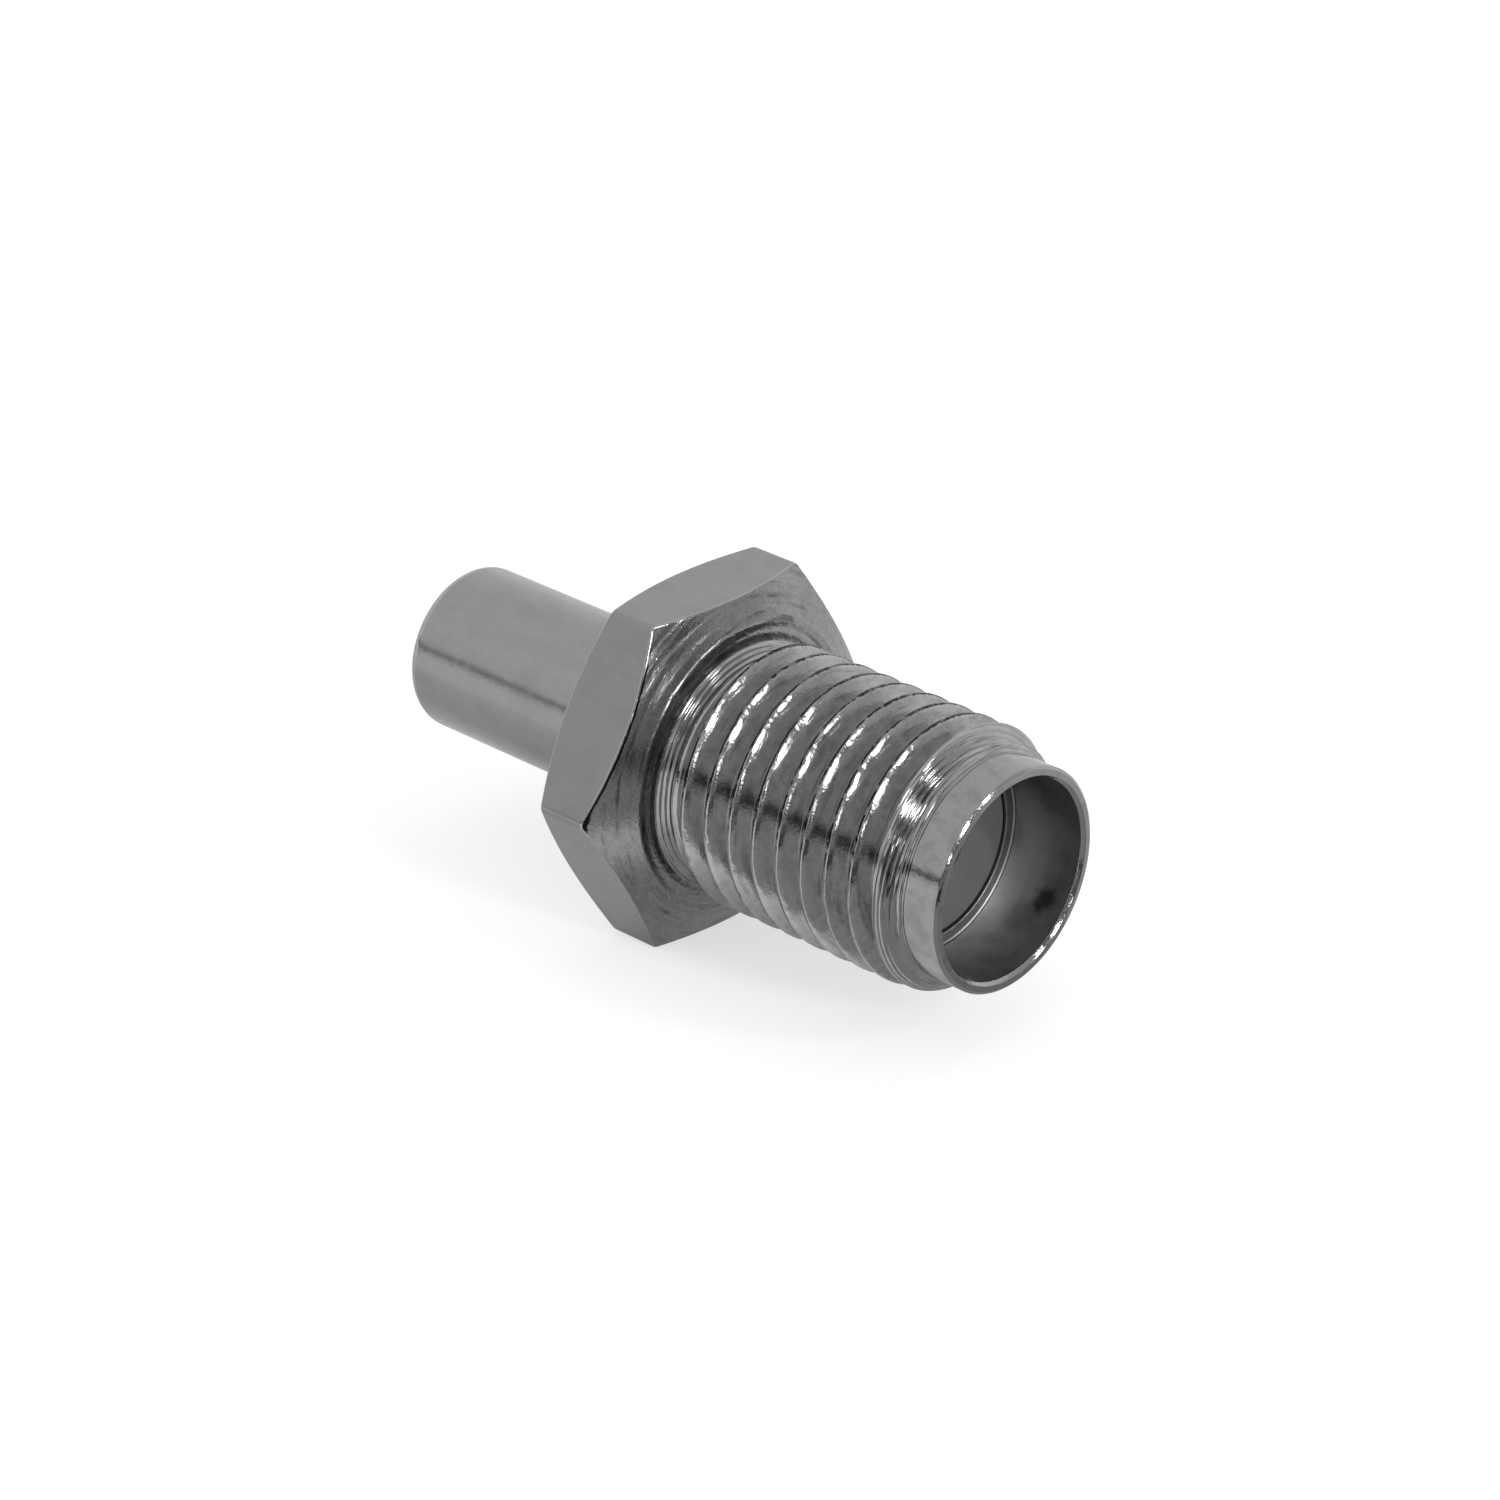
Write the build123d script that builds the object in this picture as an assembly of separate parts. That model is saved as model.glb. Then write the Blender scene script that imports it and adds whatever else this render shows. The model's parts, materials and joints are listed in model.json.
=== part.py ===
"""Straight coaxial adapter: a threaded jack at one end, a small push-on jack at the other, a hexagon between.

Millimetres. The connector axis is X. The origin is on that axis in the threaded jack's reference plane,
+X points out of its mouth, and +Z is up, square to the flat that the hexagon rests on.
"""

from build123d import *
from math import cos, radians, tan
import os

# Outer body, front part: threaded barrel and smooth nose
barrel_length = 7.99  # front face of the hexagon to the mouth
thread_major_diameter = 6.20  # quarter inch thread, 36 turns to the inch, left plain here
thread_depth = 0.45  # crest to root, and the depth of the relief at the hexagon
thread_relief_width = 0.70
thread_relief_slope = 45.0  # degrees, from the relief up to the thread
nose_length = 1.04
shoulder_length = 0.58  # rounded run from the thread down to the nose
nose_edge_chamfer = 0.06

# Outer body, hexagon
hex_across_flats = 8.15
hex_width = 2.42
hex_face_diameter = 6.94  # flat ring left by the chamfers on both faces
hex_front_chamfer_angle = 26.9  # degrees from the face
hex_back_chamfer_angle = 24.5
hex_corner_round = 0.20  # on the long edges of the bar

# Threaded jack, inside
jack_bore_diameter = 4.70
nose_wall = 0.285  # left round the bore at the mouth
jack_depth = 1.93  # reference plane to the mouth
jack_lead_in = 0.08
dielectric_diameter = 4.10
dielectric_step_depth = 0.60  # length of the narrow part behind the reference plane
barrel_wall = 0.25  # between the relief and the rear bore, which takes the front insulator and the spigot
dielectric_recess = 0.10  # insulator face below the reference plane

# Rear barrel
tube_diameter = 4.00
tube_length = 6.56
tube_edge_round = 0.27
spigot_length = 2.20
spigot_edge_chamfer = 0.12
spigot_clearance = 0.01

# Push-on jack, inside the rear barrel
rear_jack_bore_diameter = 2.42
rear_jack_depth = 2.60
rear_jack_groove_diameter = 2.66
rear_jack_groove_width = 0.40
rear_jack_groove_setback = 0.80  # mouth to the near edge of the groove
rear_jack_lead_in = 0.14
rear_jack_lead_in_angle = 30.0  # degrees from the axis

# Insulators
line_bore_diameter = 1.80  # narrow coaxial line behind the push-on jack
flange_diameter = 3.10
flange_thickness = 0.70
insulator_clearance = 0.02

# Centre contact
front_contact_diameter = 1.27
front_contact_bore = 0.94
front_contact_bore_depth = 3.40
front_contact_setback = 0.12  # tip below the reference plane
front_slot_count = 4
front_slot_width = 0.18
front_slot_length = 2.10
collar_diameter = 1.90
collar_width = 0.50
rear_contact_diameter = 0.56
rear_contact_bore = 0.40
rear_contact_bore_depth = 1.60
rear_contact_setback = 0.45  # tip below the mouth of the push-on jack
rear_slot_count = 2
rear_slot_width = 0.10
rear_slot_length = 1.30
contact_clearance = 0.01
contact_tip_chamfer = 0.06

overcut = 0.20  # how far a cutting shape runs past what it cuts

# Stations along the axis, from the mouth of the threaded jack back
mouth = jack_depth
nose_root = mouth - nose_length
thread_end = nose_root - shoulder_length
hex_front = mouth - barrel_length
hex_back = hex_front - hex_width
tube_end = hex_back - tube_length
spigot_face = hex_back + spigot_length
rear_jack_plane = tube_end + rear_jack_depth

# Radii
thread_r = thread_major_diameter / 2
relief_r = thread_r - thread_depth
jack_r = jack_bore_diameter / 2
nose_r = jack_r + nose_wall
dielectric_r = dielectric_diameter / 2
rear_bore_r = relief_r - barrel_wall
tube_r = tube_diameter / 2
rear_jack_r = rear_jack_bore_diameter / 2
groove_r = rear_jack_groove_diameter / 2
line_r = line_bore_diameter / 2
flange_r = flange_diameter / 2
collar_r = collar_diameter / 2


def run(*points):
    """Straight runs of a half section through (station, radius) points."""
    return Polyline(*points)


def turned(*runs):
    """Solid turned about the axis from the runs of a closed half section."""
    outline = Wire([edge for piece in runs for edge in piece.edges()])
    return revolve(Face(outline), axis=Axis.X)


def slots(count, width, reach, start, end):
    """Thin plates that stand out from the axis an equal angle apart, to cut the slots of a spring socket."""
    plate = Pos((start + end) / 2, reach / 2, 0) * Box(end - start, reach, width)
    return Part() + [Rot(X=(i + 0.5) * 360 / count) * plate for i in range(count)]


def hexagon():
    """Hexagon with both faces turned back to a ring by a shallow cone, flats at top and bottom."""
    flats = RegularPolygon(hex_across_flats / 2, 6, major_radius=False)
    bar = extrude(Plane.YZ.offset(hex_back) * flats, hex_width)
    blank = fillet(bar.edges().filter_by(Axis.X), hex_corner_round)
    face_r = hex_face_diameter / 2
    outside_r = hex_across_flats / 2 / cos(radians(30)) + overcut
    front_run = (outside_r - face_r) * tan(radians(hex_front_chamfer_angle))
    back_run = (outside_r - face_r) * tan(radians(hex_back_chamfer_angle))
    envelope = turned(
        run(
            (hex_back, 0),
            (hex_back, face_r),
            (hex_back + back_run, outside_r),
            (hex_front - front_run, outside_r),
            (hex_front, face_r),
            (hex_front, 0),
            (hex_back, 0),
        )
    )
    return blank & envelope


def threaded_barrel():
    """Thread blank with its relief at the hexagon and a rounded shoulder down to the nose."""
    relief_end = hex_front + thread_relief_width
    slope_run = (thread_r - relief_r) / tan(radians(thread_relief_slope))
    back = run(
        (hex_back, 0),
        (hex_back, relief_r),
        (relief_end - slope_run, relief_r),
        (relief_end, thread_r),
        (thread_end, thread_r),
    )
    shoulder = TangentArc((thread_end, thread_r), (nose_root, nose_r), tangent=(1, 0))
    front = run(
        (nose_root, nose_r),
        (mouth - nose_edge_chamfer, nose_r),
        (mouth, nose_r - nose_edge_chamfer),
        (mouth, 0),
        (hex_back, 0),
    )
    return turned(back, shoulder, front)


def outer_bore():
    """Everything hollow in the outer body: jack, narrow part round the dielectric, rear bore."""
    step = -dielectric_step_depth
    return turned(
        run(
            (hex_back, 0),
            (hex_back, rear_bore_r),
            (step, rear_bore_r),
            (step, dielectric_r),
            (0, dielectric_r),
            (0, jack_r),
            (mouth - jack_lead_in, jack_r),
            (mouth, jack_r + jack_lead_in),
            (mouth, 0),
            (hex_back, 0),
        )
    )


def hex_body():
    """Outer body of the threaded jack, turned from hexagon bar."""
    return hexagon() + threaded_barrel() - outer_bore()


def rear_barrel():
    """Outer contact of the push-on jack, with the spigot that is pressed into the hexagon."""
    spigot_r = rear_bore_r - spigot_clearance
    blank = turned(
        run(
            (tube_end, 0),
            (tube_end, tube_r),
            (hex_back, tube_r),
            (hex_back, spigot_r),
            (spigot_face - spigot_edge_chamfer, spigot_r),
            (spigot_face, spigot_r - spigot_edge_chamfer),
            (spigot_face, 0),
            (tube_end, 0),
        )
    )
    rim = blank.edges().filter_by(GeomType.CIRCLE).group_by(Axis.X)[0].sort_by(SortBy.RADIUS)[-1]
    lead_r = rear_jack_r + rear_jack_lead_in
    lead_run = rear_jack_lead_in / tan(radians(rear_jack_lead_in_angle))
    groove_start = tube_end + rear_jack_groove_setback
    groove_slope = groove_r - rear_jack_r
    hollow = turned(
        run(
            (tube_end, 0),
            (tube_end, lead_r),
            (tube_end + lead_run, rear_jack_r),
            (groove_start, rear_jack_r),
            (groove_start + groove_slope, groove_r),
            (groove_start + rear_jack_groove_width - groove_slope, groove_r),
            (groove_start + rear_jack_groove_width, rear_jack_r),
            (rear_jack_plane, rear_jack_r),
            (rear_jack_plane, line_r),
            (spigot_face - flange_thickness, line_r),
            (spigot_face - flange_thickness, flange_r),
            (spigot_face, flange_r),
            (spigot_face, 0),
            (tube_end, 0),
        )
    )
    return fillet(rim, tube_edge_round) - hollow


def front_insulator():
    """Stepped bead round the front contact, held between the outer body's step and the spigot."""
    wide_r = rear_bore_r - insulator_clearance
    narrow_r = dielectric_r - insulator_clearance
    hole_r = front_contact_diameter / 2 + contact_clearance
    pocket_r = collar_r + contact_clearance
    return turned(
        run(
            (spigot_face + collar_width, hole_r),
            (spigot_face + collar_width, pocket_r),
            (spigot_face, pocket_r),
            (spigot_face, wide_r),
            (-dielectric_step_depth, wide_r),
            (-dielectric_step_depth, narrow_r),
            (-dielectric_recess, narrow_r),
            (-dielectric_recess, hole_r),
            (spigot_face + collar_width, hole_r),
        )
    )


def rear_insulator():
    """Flanged bead round the rear contact, held between the rear barrel and the front bead."""
    line_bead_r = line_r - insulator_clearance
    flange_bead_r = flange_r - insulator_clearance
    hole_r = rear_contact_diameter / 2 + contact_clearance
    return turned(
        run(
            (rear_jack_plane, hole_r),
            (rear_jack_plane, line_bead_r),
            (spigot_face - flange_thickness, line_bead_r),
            (spigot_face - flange_thickness, flange_bead_r),
            (spigot_face, flange_bead_r),
            (spigot_face, hole_r),
            (rear_jack_plane, hole_r),
        )
    )


def socket_hole(radius, bottom, tip):
    """Drilled hole with a pointed bottom, for a pin that enters at the tip."""
    point = radius * tan(radians(31)) * (1 if bottom < tip else -1)
    return turned(run((bottom - point, 0), (bottom, radius), (tip, radius), (tip, 0), (bottom - point, 0)))


def centre_contact():
    """Double-ended socket turned in one piece, with a collar that the two insulators trap."""
    front_r = front_contact_diameter / 2
    rear_r = rear_contact_diameter / 2
    front_tip = -front_contact_setback
    rear_tip = tube_end + rear_contact_setback
    blank = turned(
        run(
            (rear_tip, 0),
            (rear_tip, rear_r - contact_tip_chamfer),
            (rear_tip + contact_tip_chamfer, rear_r),
            (spigot_face, rear_r),
            (spigot_face, collar_r),
            (spigot_face + collar_width, collar_r),
            (spigot_face + collar_width, front_r),
            (front_tip - contact_tip_chamfer, front_r),
            (front_tip, front_r - contact_tip_chamfer),
            (front_tip, 0),
            (rear_tip, 0),
        )
    )
    front_hole = socket_hole(front_contact_bore / 2, front_tip - front_contact_bore_depth, front_tip)
    rear_hole = socket_hole(rear_contact_bore / 2, rear_tip + rear_contact_bore_depth, rear_tip)
    front_slots = slots(
        front_slot_count,
        front_slot_width,
        reach=front_r + overcut,
        start=front_tip - front_slot_length,
        end=front_tip + overcut,
    )
    rear_slots = slots(
        rear_slot_count,
        rear_slot_width,
        reach=rear_r + overcut,
        start=rear_tip - overcut,
        end=rear_tip + rear_slot_length,
    )
    return blank - front_hole - rear_hole - front_slots - rear_slots


PIECES = {
    "hex_body": hex_body,
    "rear_barrel": rear_barrel,
    "front_insulator": front_insulator,
    "rear_insulator": rear_insulator,
    "centre_contact": centre_contact,
}


def main():
    """Builds each piece and writes it to its own file."""
    os.makedirs("parts", exist_ok=True)
    for name, build in PIECES.items():
        export_step(build(), f"parts/{name}.step")


if __name__ == "__main__":
    main()
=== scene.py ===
"""Looks of a straight coaxial adapter: threaded jack, hexagon, and round barrel with a small push-on jack.

Sizes are millimetres on the connector's axis, with +X out of the threaded mouth and +Z up. A mesh is turned
to metres when it is finished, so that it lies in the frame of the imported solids.
"""

import json
import logging
import math
from collections.abc import Iterable
from dataclasses import dataclass, field
from enum import Enum

import bpy
import numpy as np
from mathutils import Matrix, Vector

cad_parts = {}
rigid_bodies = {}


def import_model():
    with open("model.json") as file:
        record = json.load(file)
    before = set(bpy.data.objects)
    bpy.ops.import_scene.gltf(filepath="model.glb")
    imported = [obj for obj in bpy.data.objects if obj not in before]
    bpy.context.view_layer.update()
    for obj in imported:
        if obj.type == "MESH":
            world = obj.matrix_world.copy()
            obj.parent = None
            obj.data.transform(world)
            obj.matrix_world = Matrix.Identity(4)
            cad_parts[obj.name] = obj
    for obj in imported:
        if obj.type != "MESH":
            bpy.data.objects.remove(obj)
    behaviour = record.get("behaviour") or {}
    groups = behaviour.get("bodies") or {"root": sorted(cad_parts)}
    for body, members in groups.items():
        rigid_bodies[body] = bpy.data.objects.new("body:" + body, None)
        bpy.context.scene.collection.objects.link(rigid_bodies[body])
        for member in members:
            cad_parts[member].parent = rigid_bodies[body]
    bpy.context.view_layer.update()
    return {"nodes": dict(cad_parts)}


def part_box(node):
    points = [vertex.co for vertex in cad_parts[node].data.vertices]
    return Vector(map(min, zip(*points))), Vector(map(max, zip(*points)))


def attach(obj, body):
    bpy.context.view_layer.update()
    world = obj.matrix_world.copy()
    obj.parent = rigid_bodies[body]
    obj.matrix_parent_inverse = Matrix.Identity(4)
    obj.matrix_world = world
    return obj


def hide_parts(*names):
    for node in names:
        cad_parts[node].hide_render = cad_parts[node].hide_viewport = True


LOG = logging.getLogger("adapter")
METRES = 0.001  # one millimetre
TOUCH = 0.0001  # shorter lengths count as none, in millimetres
BODY = "root"
THREAD_PITCH = 25.4 / 36
THREAD_PHASE = 0.194  # station of a crest at angle 0
THREAD_RADIUS = 3.1  # over the crests
ROOT_RADIUS = 2.67  # at the bottom of the grooves
FLANK_SLOPE = math.sqrt(3.0)  # fall of a flank for each millimetre along the axis
HALF_FLATS = 4.075  # from the axis to a flat of the hexagon

# Rounds of turned edges
BROKEN = 0.02
EASED = 0.03
SOFT = 0.04
WORN = 0.05
BLUNT = 0.08


class Slot(Enum):
    """The record's material slots."""

    NICKEL = "nickel_plated_brass"
    INSULATOR = "insulator"
    GOLD = "gold_plated_contact"


class Zone(Enum):
    """Stretches of a turned half section, each with its own finish."""

    BAR = "bar_stock_flat"
    FACED = "faced_chamfer"
    PLAIN = "plain_turned"
    BORE = "bore_wall"
    EDGE = "worn_edge_and_highlight"
    THREAD = "thread"
    TUBE = "tube"
    SHOULDER = "shoulder"
    SHADED_CREVICE = "crevice"
    SEAT = "seat"
    BEAD = "insulator_bead"
    GILT = "gilt_contact"


# Node expressions


class Signal:
    """One output socket of a node tree, on which Python arithmetic adds Math nodes."""

    def __init__(self, graph: "Graph", socket: bpy.types.NodeSocket) -> None:
        """Wraps a socket of the graph."""
        self.graph = graph
        self.socket = socket

    def __add__(self, other: "Value") -> "Signal":
        """This plus another value."""
        return self.graph.math("ADD", self, other)

    def __radd__(self, other: "Value") -> "Signal":
        """Another value plus this."""
        return self.graph.math("ADD", other, self)

    def __sub__(self, other: "Value") -> "Signal":
        """This minus another value."""
        return self.graph.math("SUBTRACT", self, other)

    def __rsub__(self, other: "Value") -> "Signal":
        """Another value minus this."""
        return self.graph.math("SUBTRACT", other, self)

    def __mul__(self, other: "Value") -> "Signal":
        """This times another value."""
        return self.graph.math("MULTIPLY", self, other)

    def __rmul__(self, other: "Value") -> "Signal":
        """Another value times this."""
        return self.graph.math("MULTIPLY", other, self)

    def __truediv__(self, other: "Value") -> "Signal":
        """This over another value."""
        return self.graph.math("DIVIDE", self, other)

    def root(self) -> "Signal":
        """Square root."""
        return self.graph.math("SQRT", self)

    def at_least(self, other: "Value") -> "Signal":
        """The larger of this and another value."""
        return self.graph.math("MAXIMUM", self, other)

    def at_most(self, other: "Value") -> "Signal":
        """The smaller of this and another value."""
        return self.graph.math("MINIMUM", self, other)

    def step(self, low: "Value", high: "Value") -> "Signal":
        """Smooth step from 0 to 1.

        Args:
            low: value of this at which the step starts.
            high: value at which it ends.

        Returns:
            The step.
        """
        ramp = self.graph.node(
            "ShaderNodeMapRange",
            {"interpolation_type": "SMOOTHSTEP", "clamp": True},
            {"Value": self, "From Min": low, "From Max": high, "To Min": 0.0, "To Max": 1.0},
        )
        return self.graph.out(ramp, "Result")


Value = Signal | float


class Graph:
    """Adds nodes to a shader, world or geometry tree."""

    def __init__(self, tree: bpy.types.NodeTree) -> None:
        """Wraps a node tree."""
        self.tree = tree

    def node(self, kind: str, settings: dict | None = None, inputs: dict | None = None) -> bpy.types.Node:
        """Adds one node.

        Args:
            kind: the node's type.
            settings: its own settings, which are set first.
            inputs: values or signals of its sockets, by name or place.

        Returns:
            The new node.
        """
        made = self.tree.nodes.new(kind)
        for name, value in (settings or {}).items():
            setattr(made, name, value)
        self.feed(made, inputs or {})
        return made

    def feed(self, node: bpy.types.Node, inputs: dict) -> None:
        """Sets or links a node's inputs.

        Args:
            node: the node.
            inputs: values or signals of its sockets, by name or place.
        """
        for name, value in inputs.items():
            if isinstance(value, Signal):
                self.tree.links.new(value.socket, node.inputs[name])
            else:
                node.inputs[name].default_value = value

    def out(self, node: bpy.types.Node, name: str | int = 0) -> Signal:
        """One output of a node, as a signal."""
        return Signal(self, node.outputs[name])

    def math(self, operation: str, *values: Value) -> Signal:
        """Adds a Math node on one to three values."""
        inputs = dict(enumerate(values))
        return self.out(self.node("ShaderNodeMath", {"operation": operation}, inputs))

    def split(self, vector: Signal) -> list[Signal]:
        """The three parts of a vector."""
        parts = self.node("ShaderNodeSeparateXYZ", inputs={0: vector})
        return [self.out(parts, axis) for axis in range(3)]

    def vector(self, x: Value, y: Value, z: Value) -> Signal:
        """A vector from its three parts."""
        return self.out(self.node("ShaderNodeCombineXYZ", inputs={0: x, 1: y, 2: z}))

    def dot(self, vector: Signal, direction: Iterable[float]) -> Signal:
        """Dot product of a vector with a fixed direction."""
        pair = {0: vector, 1: tuple(direction)}
        return self.out(self.node("ShaderNodeVectorMath", {"operation": "DOT_PRODUCT"}, pair), "Value")

    def noise(self, vector: Signal, scale: float, detail: float = 2.0, fourth: Value | None = None) -> Signal:
        """Noise from 0 to 1 with its middle at a half.

        Args:
            vector: where it is read.
            scale: its frequency.
            detail: octaves.
            fourth: a fourth coordinate, if it has one.

        Returns:
            The noise.
        """
        settings = {"noise_dimensions": "3D" if fourth is None else "4D"}
        inputs = {"Vector": vector, "Scale": scale, "Detail": detail, "Roughness": 0.55}
        if fourth is not None:
            inputs["W"] = fourth
        return self.out(self.node("ShaderNodeTexNoise", settings, inputs))

    def scale(self, vector: Signal | tuple[float, float, float], by: Value) -> Signal:
        """A vector or a colour times a value."""
        return self.out(self.node("ShaderNodeVectorMath", {"operation": "SCALE"}, {0: vector, "Scale": by}))

    def bump(self, height: Signal) -> Signal:
        """The surface's direction with bumps of that height in millimetres."""
        inputs = {"Strength": 1.0, "Distance": METRES, "Height": height}
        return self.out(self.node("ShaderNodeBump", inputs=inputs))

    def white(self, strength: Value) -> Signal:
        """A white glow of that strength."""
        inputs = {"Color": (1, 1, 1, 1), "Strength": strength}
        return self.out(self.node("ShaderNodeEmission", inputs=inputs))


def start_material(name: str) -> tuple[bpy.types.Material, Graph, bpy.types.Node]:
    """Starts a material.

    Args:
        name: its name.

    Returns:
        The material, its graph and its shader.
    """
    material = bpy.data.materials.new(name)
    material.use_nodes = True
    return material, Graph(material.node_tree), material.node_tree.nodes["Principled BSDF"]


# Finishes


@dataclass(frozen=True)
class LathePlace:
    """Where a point lies for a pattern, in millimetres.

    Attributes:
        station: its place along the axis.
        radius: its distance from the axis.
        turn_y: Y part of the direction from the axis to it.
        turn_z: Z part of that direction.
        point: the point itself.
    """

    station: Signal
    radius: Signal
    turn_y: Signal
    turn_z: Signal
    point: Signal

    @classmethod
    def of(cls, graph: Graph) -> "LathePlace":
        """Reads Object coordinates and works out the place on the lathe.

        Args:
            graph: the material.

        Returns:
            The place.
        """
        point = graph.scale(graph.out(graph.node("ShaderNodeTexCoord"), "Object"), 1 / METRES)
        x, y, z = graph.split(point)
        radius = (y * y + z * z).root().at_least(0.01)
        return cls(x, radius, y / radius, z / radius, point)

    def ring(self, along: float, around: float) -> Signal:
        """A vector for noise in rings, by how fast it changes along the axis and round it."""
        return self.point.graph.vector(self.station * along, self.turn_y * around, self.turn_z * around)


@dataclass(frozen=True)
class Patterns:
    """The place of a point and the noises that every flaw and every painted shade of a finish follow.

    Attributes:
        graph: the material.
        place: where the point lies.
        marks: the tool marks, from 0 to 1.
        stains: the stains' noise, from 0 to 1.
    """

    graph: Graph
    place: LathePlace
    marks: Signal
    stains: Signal


@dataclass(frozen=True)
class Ridges:
    """Coarse ridges that the tool's feed leaves.

    Attributes:
        pitch: from one ridge to the next, in millimetres.
        depth: their height.
        stray: how far the tool marks make them stray.
        patches: levels of the stains' noise between which they come up.
        across: whether they are counted from the axis, as on a face, and not along a barrel.
        faint: radii between which those of a face get faint.
        fade: how far they do.
    """

    pitch: float
    depth: float
    stray: float
    patches: tuple[float, float]
    across: bool = False
    faint: tuple[float, float] = (3.45, 3.6)
    fade: float = 0.8

    def height(self, at: Patterns) -> Signal:
        """How high the ridges stand.

        Args:
            at: the point and its noises.

        Returns:
            The height in millimetres.
        """
        way = at.place.radius if self.across else at.place.station
        beat = way * (math.tau / self.pitch) + self.stray * at.marks
        height = at.graph.math("SINE", beat) * self.depth * at.stains.step(*self.patches)
        if not self.across:
            return height
        return height * (1.0 - self.fade * at.place.radius.step(*self.faint))


@dataclass(frozen=True)
class Scuffs:
    """Short dark scuffs along the tool marks.

    Attributes:
        strength: how dark they are.
        rate: scuffs for each millimetre.
        turn: how fast a scuff changes round the axis.
        edge: levels of the noise between which a scuff comes up.
    """

    strength: float
    rate: float = 6.0
    turn: float = 3.0
    edge: tuple[float, float] = (0.54, 0.7)

    def darkness(self, at: Patterns) -> Signal:
        """How far the scuffs darken the tone.

        Args:
            at: the point and its noises.

        Returns:
            The share of the tone that they take away.
        """
        ring = at.place.ring(self.rate, self.turn)
        return self.strength * at.graph.noise(ring, 1.0, 3.0, at.place.radius * self.rate).step(*self.edge)


@dataclass(frozen=True)
class GrooveShade:
    """Painted shade at the bottoms of the thread's grooves, where the crests hide them.

    Attributes:
        strength: how dark it is.
        top: radius up to which it is full.
        stray: how far that strays.
        blur: height of its soft edge.
    """

    strength: float = 0.65
    top: float = ROOT_RADIUS + 0.005
    stray: float = 0.04
    blur: float = 0.03

    def darkness(self, at: Patterns) -> Signal:
        """How far the painted shade darkens the tone.

        Args:
            at: the point and its noises.

        Returns:
            The share of the tone that it takes away.
        """
        # Painted shade: the tone is dark up to a little above the root radius.
        top = self.top + self.stray * (at.marks - 0.5)
        return self.strength * (1.0 - at.place.radius.step(top, top + self.blur))


@dataclass(frozen=True)
class Smudge:
    """One dark smudge with a ragged edge.

    Attributes:
        centre: its centre in millimetres.
        strength: how dark it is.
        edge: distances from its centre between which it ends.
        ragged: how far its edge strays.
        rate: how often the edge strays in a millimetre.
    """

    centre: tuple[float, float, float]
    strength: float = 0.75
    edge: tuple[float, float] = (0.1, 0.42)
    ragged: float = 0.5
    rate: float = 4.0

    def darkness(self, at: Patterns) -> Signal:
        """How far the smudge darkens the tone.

        Args:
            at: the point and its noises.

        Returns:
            The share of the tone that it takes away.
        """
        pair = {0: at.place.point, 1: self.centre}
        away = at.graph.out(at.graph.node("ShaderNodeVectorMath", {"operation": "DISTANCE"}, pair), "Value")
        ragged = away + self.ragged * (at.graph.noise(at.place.point, self.rate, 4.0) - 0.5)
        return self.strength * (1.0 - ragged.step(*self.edge))


@dataclass(frozen=True)
class CrestSeamShade:
    """A thin ragged dark line along each crest: the seam that rolling leaves, darkened with painted shade
    where the next crest hides the groove.

    Attributes:
        half_width: half its width on the -Y side, in millimetres.
        widening: by how much of that it is wider elsewhere.
        widens: Y parts of the way out between which it widens.
        core: how much of its width is fully dark.
        behind: how far behind the middle of the crest it lies.
        stray: how far it strays.
        foot: radii between which it comes up.
        strength: how dark it is.
        underside: how much of it is gone below.
        whole_from: Z parts of the way out between which it comes back.
        patches: how much of it is gone where a stain is.
        stained: levels of the stains' noise between which it goes.
        far_side: how much of it is gone on the +Y side.
        far_edge: Y parts of the way out between which it goes there.
    """

    half_width: float = 0.0368
    widening: float = 1.0
    widens: tuple[float, float] = (-0.4, 0.1)
    core: float = 0.65
    behind: float = 0.008
    stray: float = 0.05
    foot: tuple[float, float] = (2.9, 3.0)
    strength: float = 0.97
    underside: float = 0.6
    whole_from: tuple[float, float] = (-0.1, 0.3)
    patches: float = 0.4
    stained: tuple[float, float] = (0.5, 0.62)
    far_side: float = 0.35
    far_edge: tuple[float, float] = (0.4, 0.8)

    def darkness(self, at: Patterns) -> Signal:
        """How far the seam and its painted shade darken the tone.

        Args:
            at: the point and its noises.

        Returns:
            The share of the tone that it takes away.
        """
        graph, place = at.graph, at.place
        turn = graph.math("ARCTAN2", place.turn_z, place.turn_y) / math.tau
        beat = (place.station - THREAD_PHASE) / THREAD_PITCH - turn
        away = (beat - graph.math("ROUND", beat)) * THREAD_PITCH
        stray = (graph.noise(place.ring(1.0, THREAD_RADIUS), 9.0, 4.0) - 0.5) * self.stray
        wide = self.half_width * (1.0 + self.widening * place.turn_y.step(*self.widens))
        # Painted shade along the crest: its width and darkness change round the axis, and it fades below.
        near = 1.0 - graph.math("ABSOLUTE", away + self.behind + stray).step(wide * self.core, wide)
        below = self.underside * (1.0 - place.turn_z.step(*self.whole_from))
        gone = (at.stains.step(*self.stained) * self.patches).at_least(below)
        kept = 1.0 - self.far_side * place.turn_y.step(*self.far_edge)
        return near * place.radius.step(*self.foot) * (self.strength - gone) * kept


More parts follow.
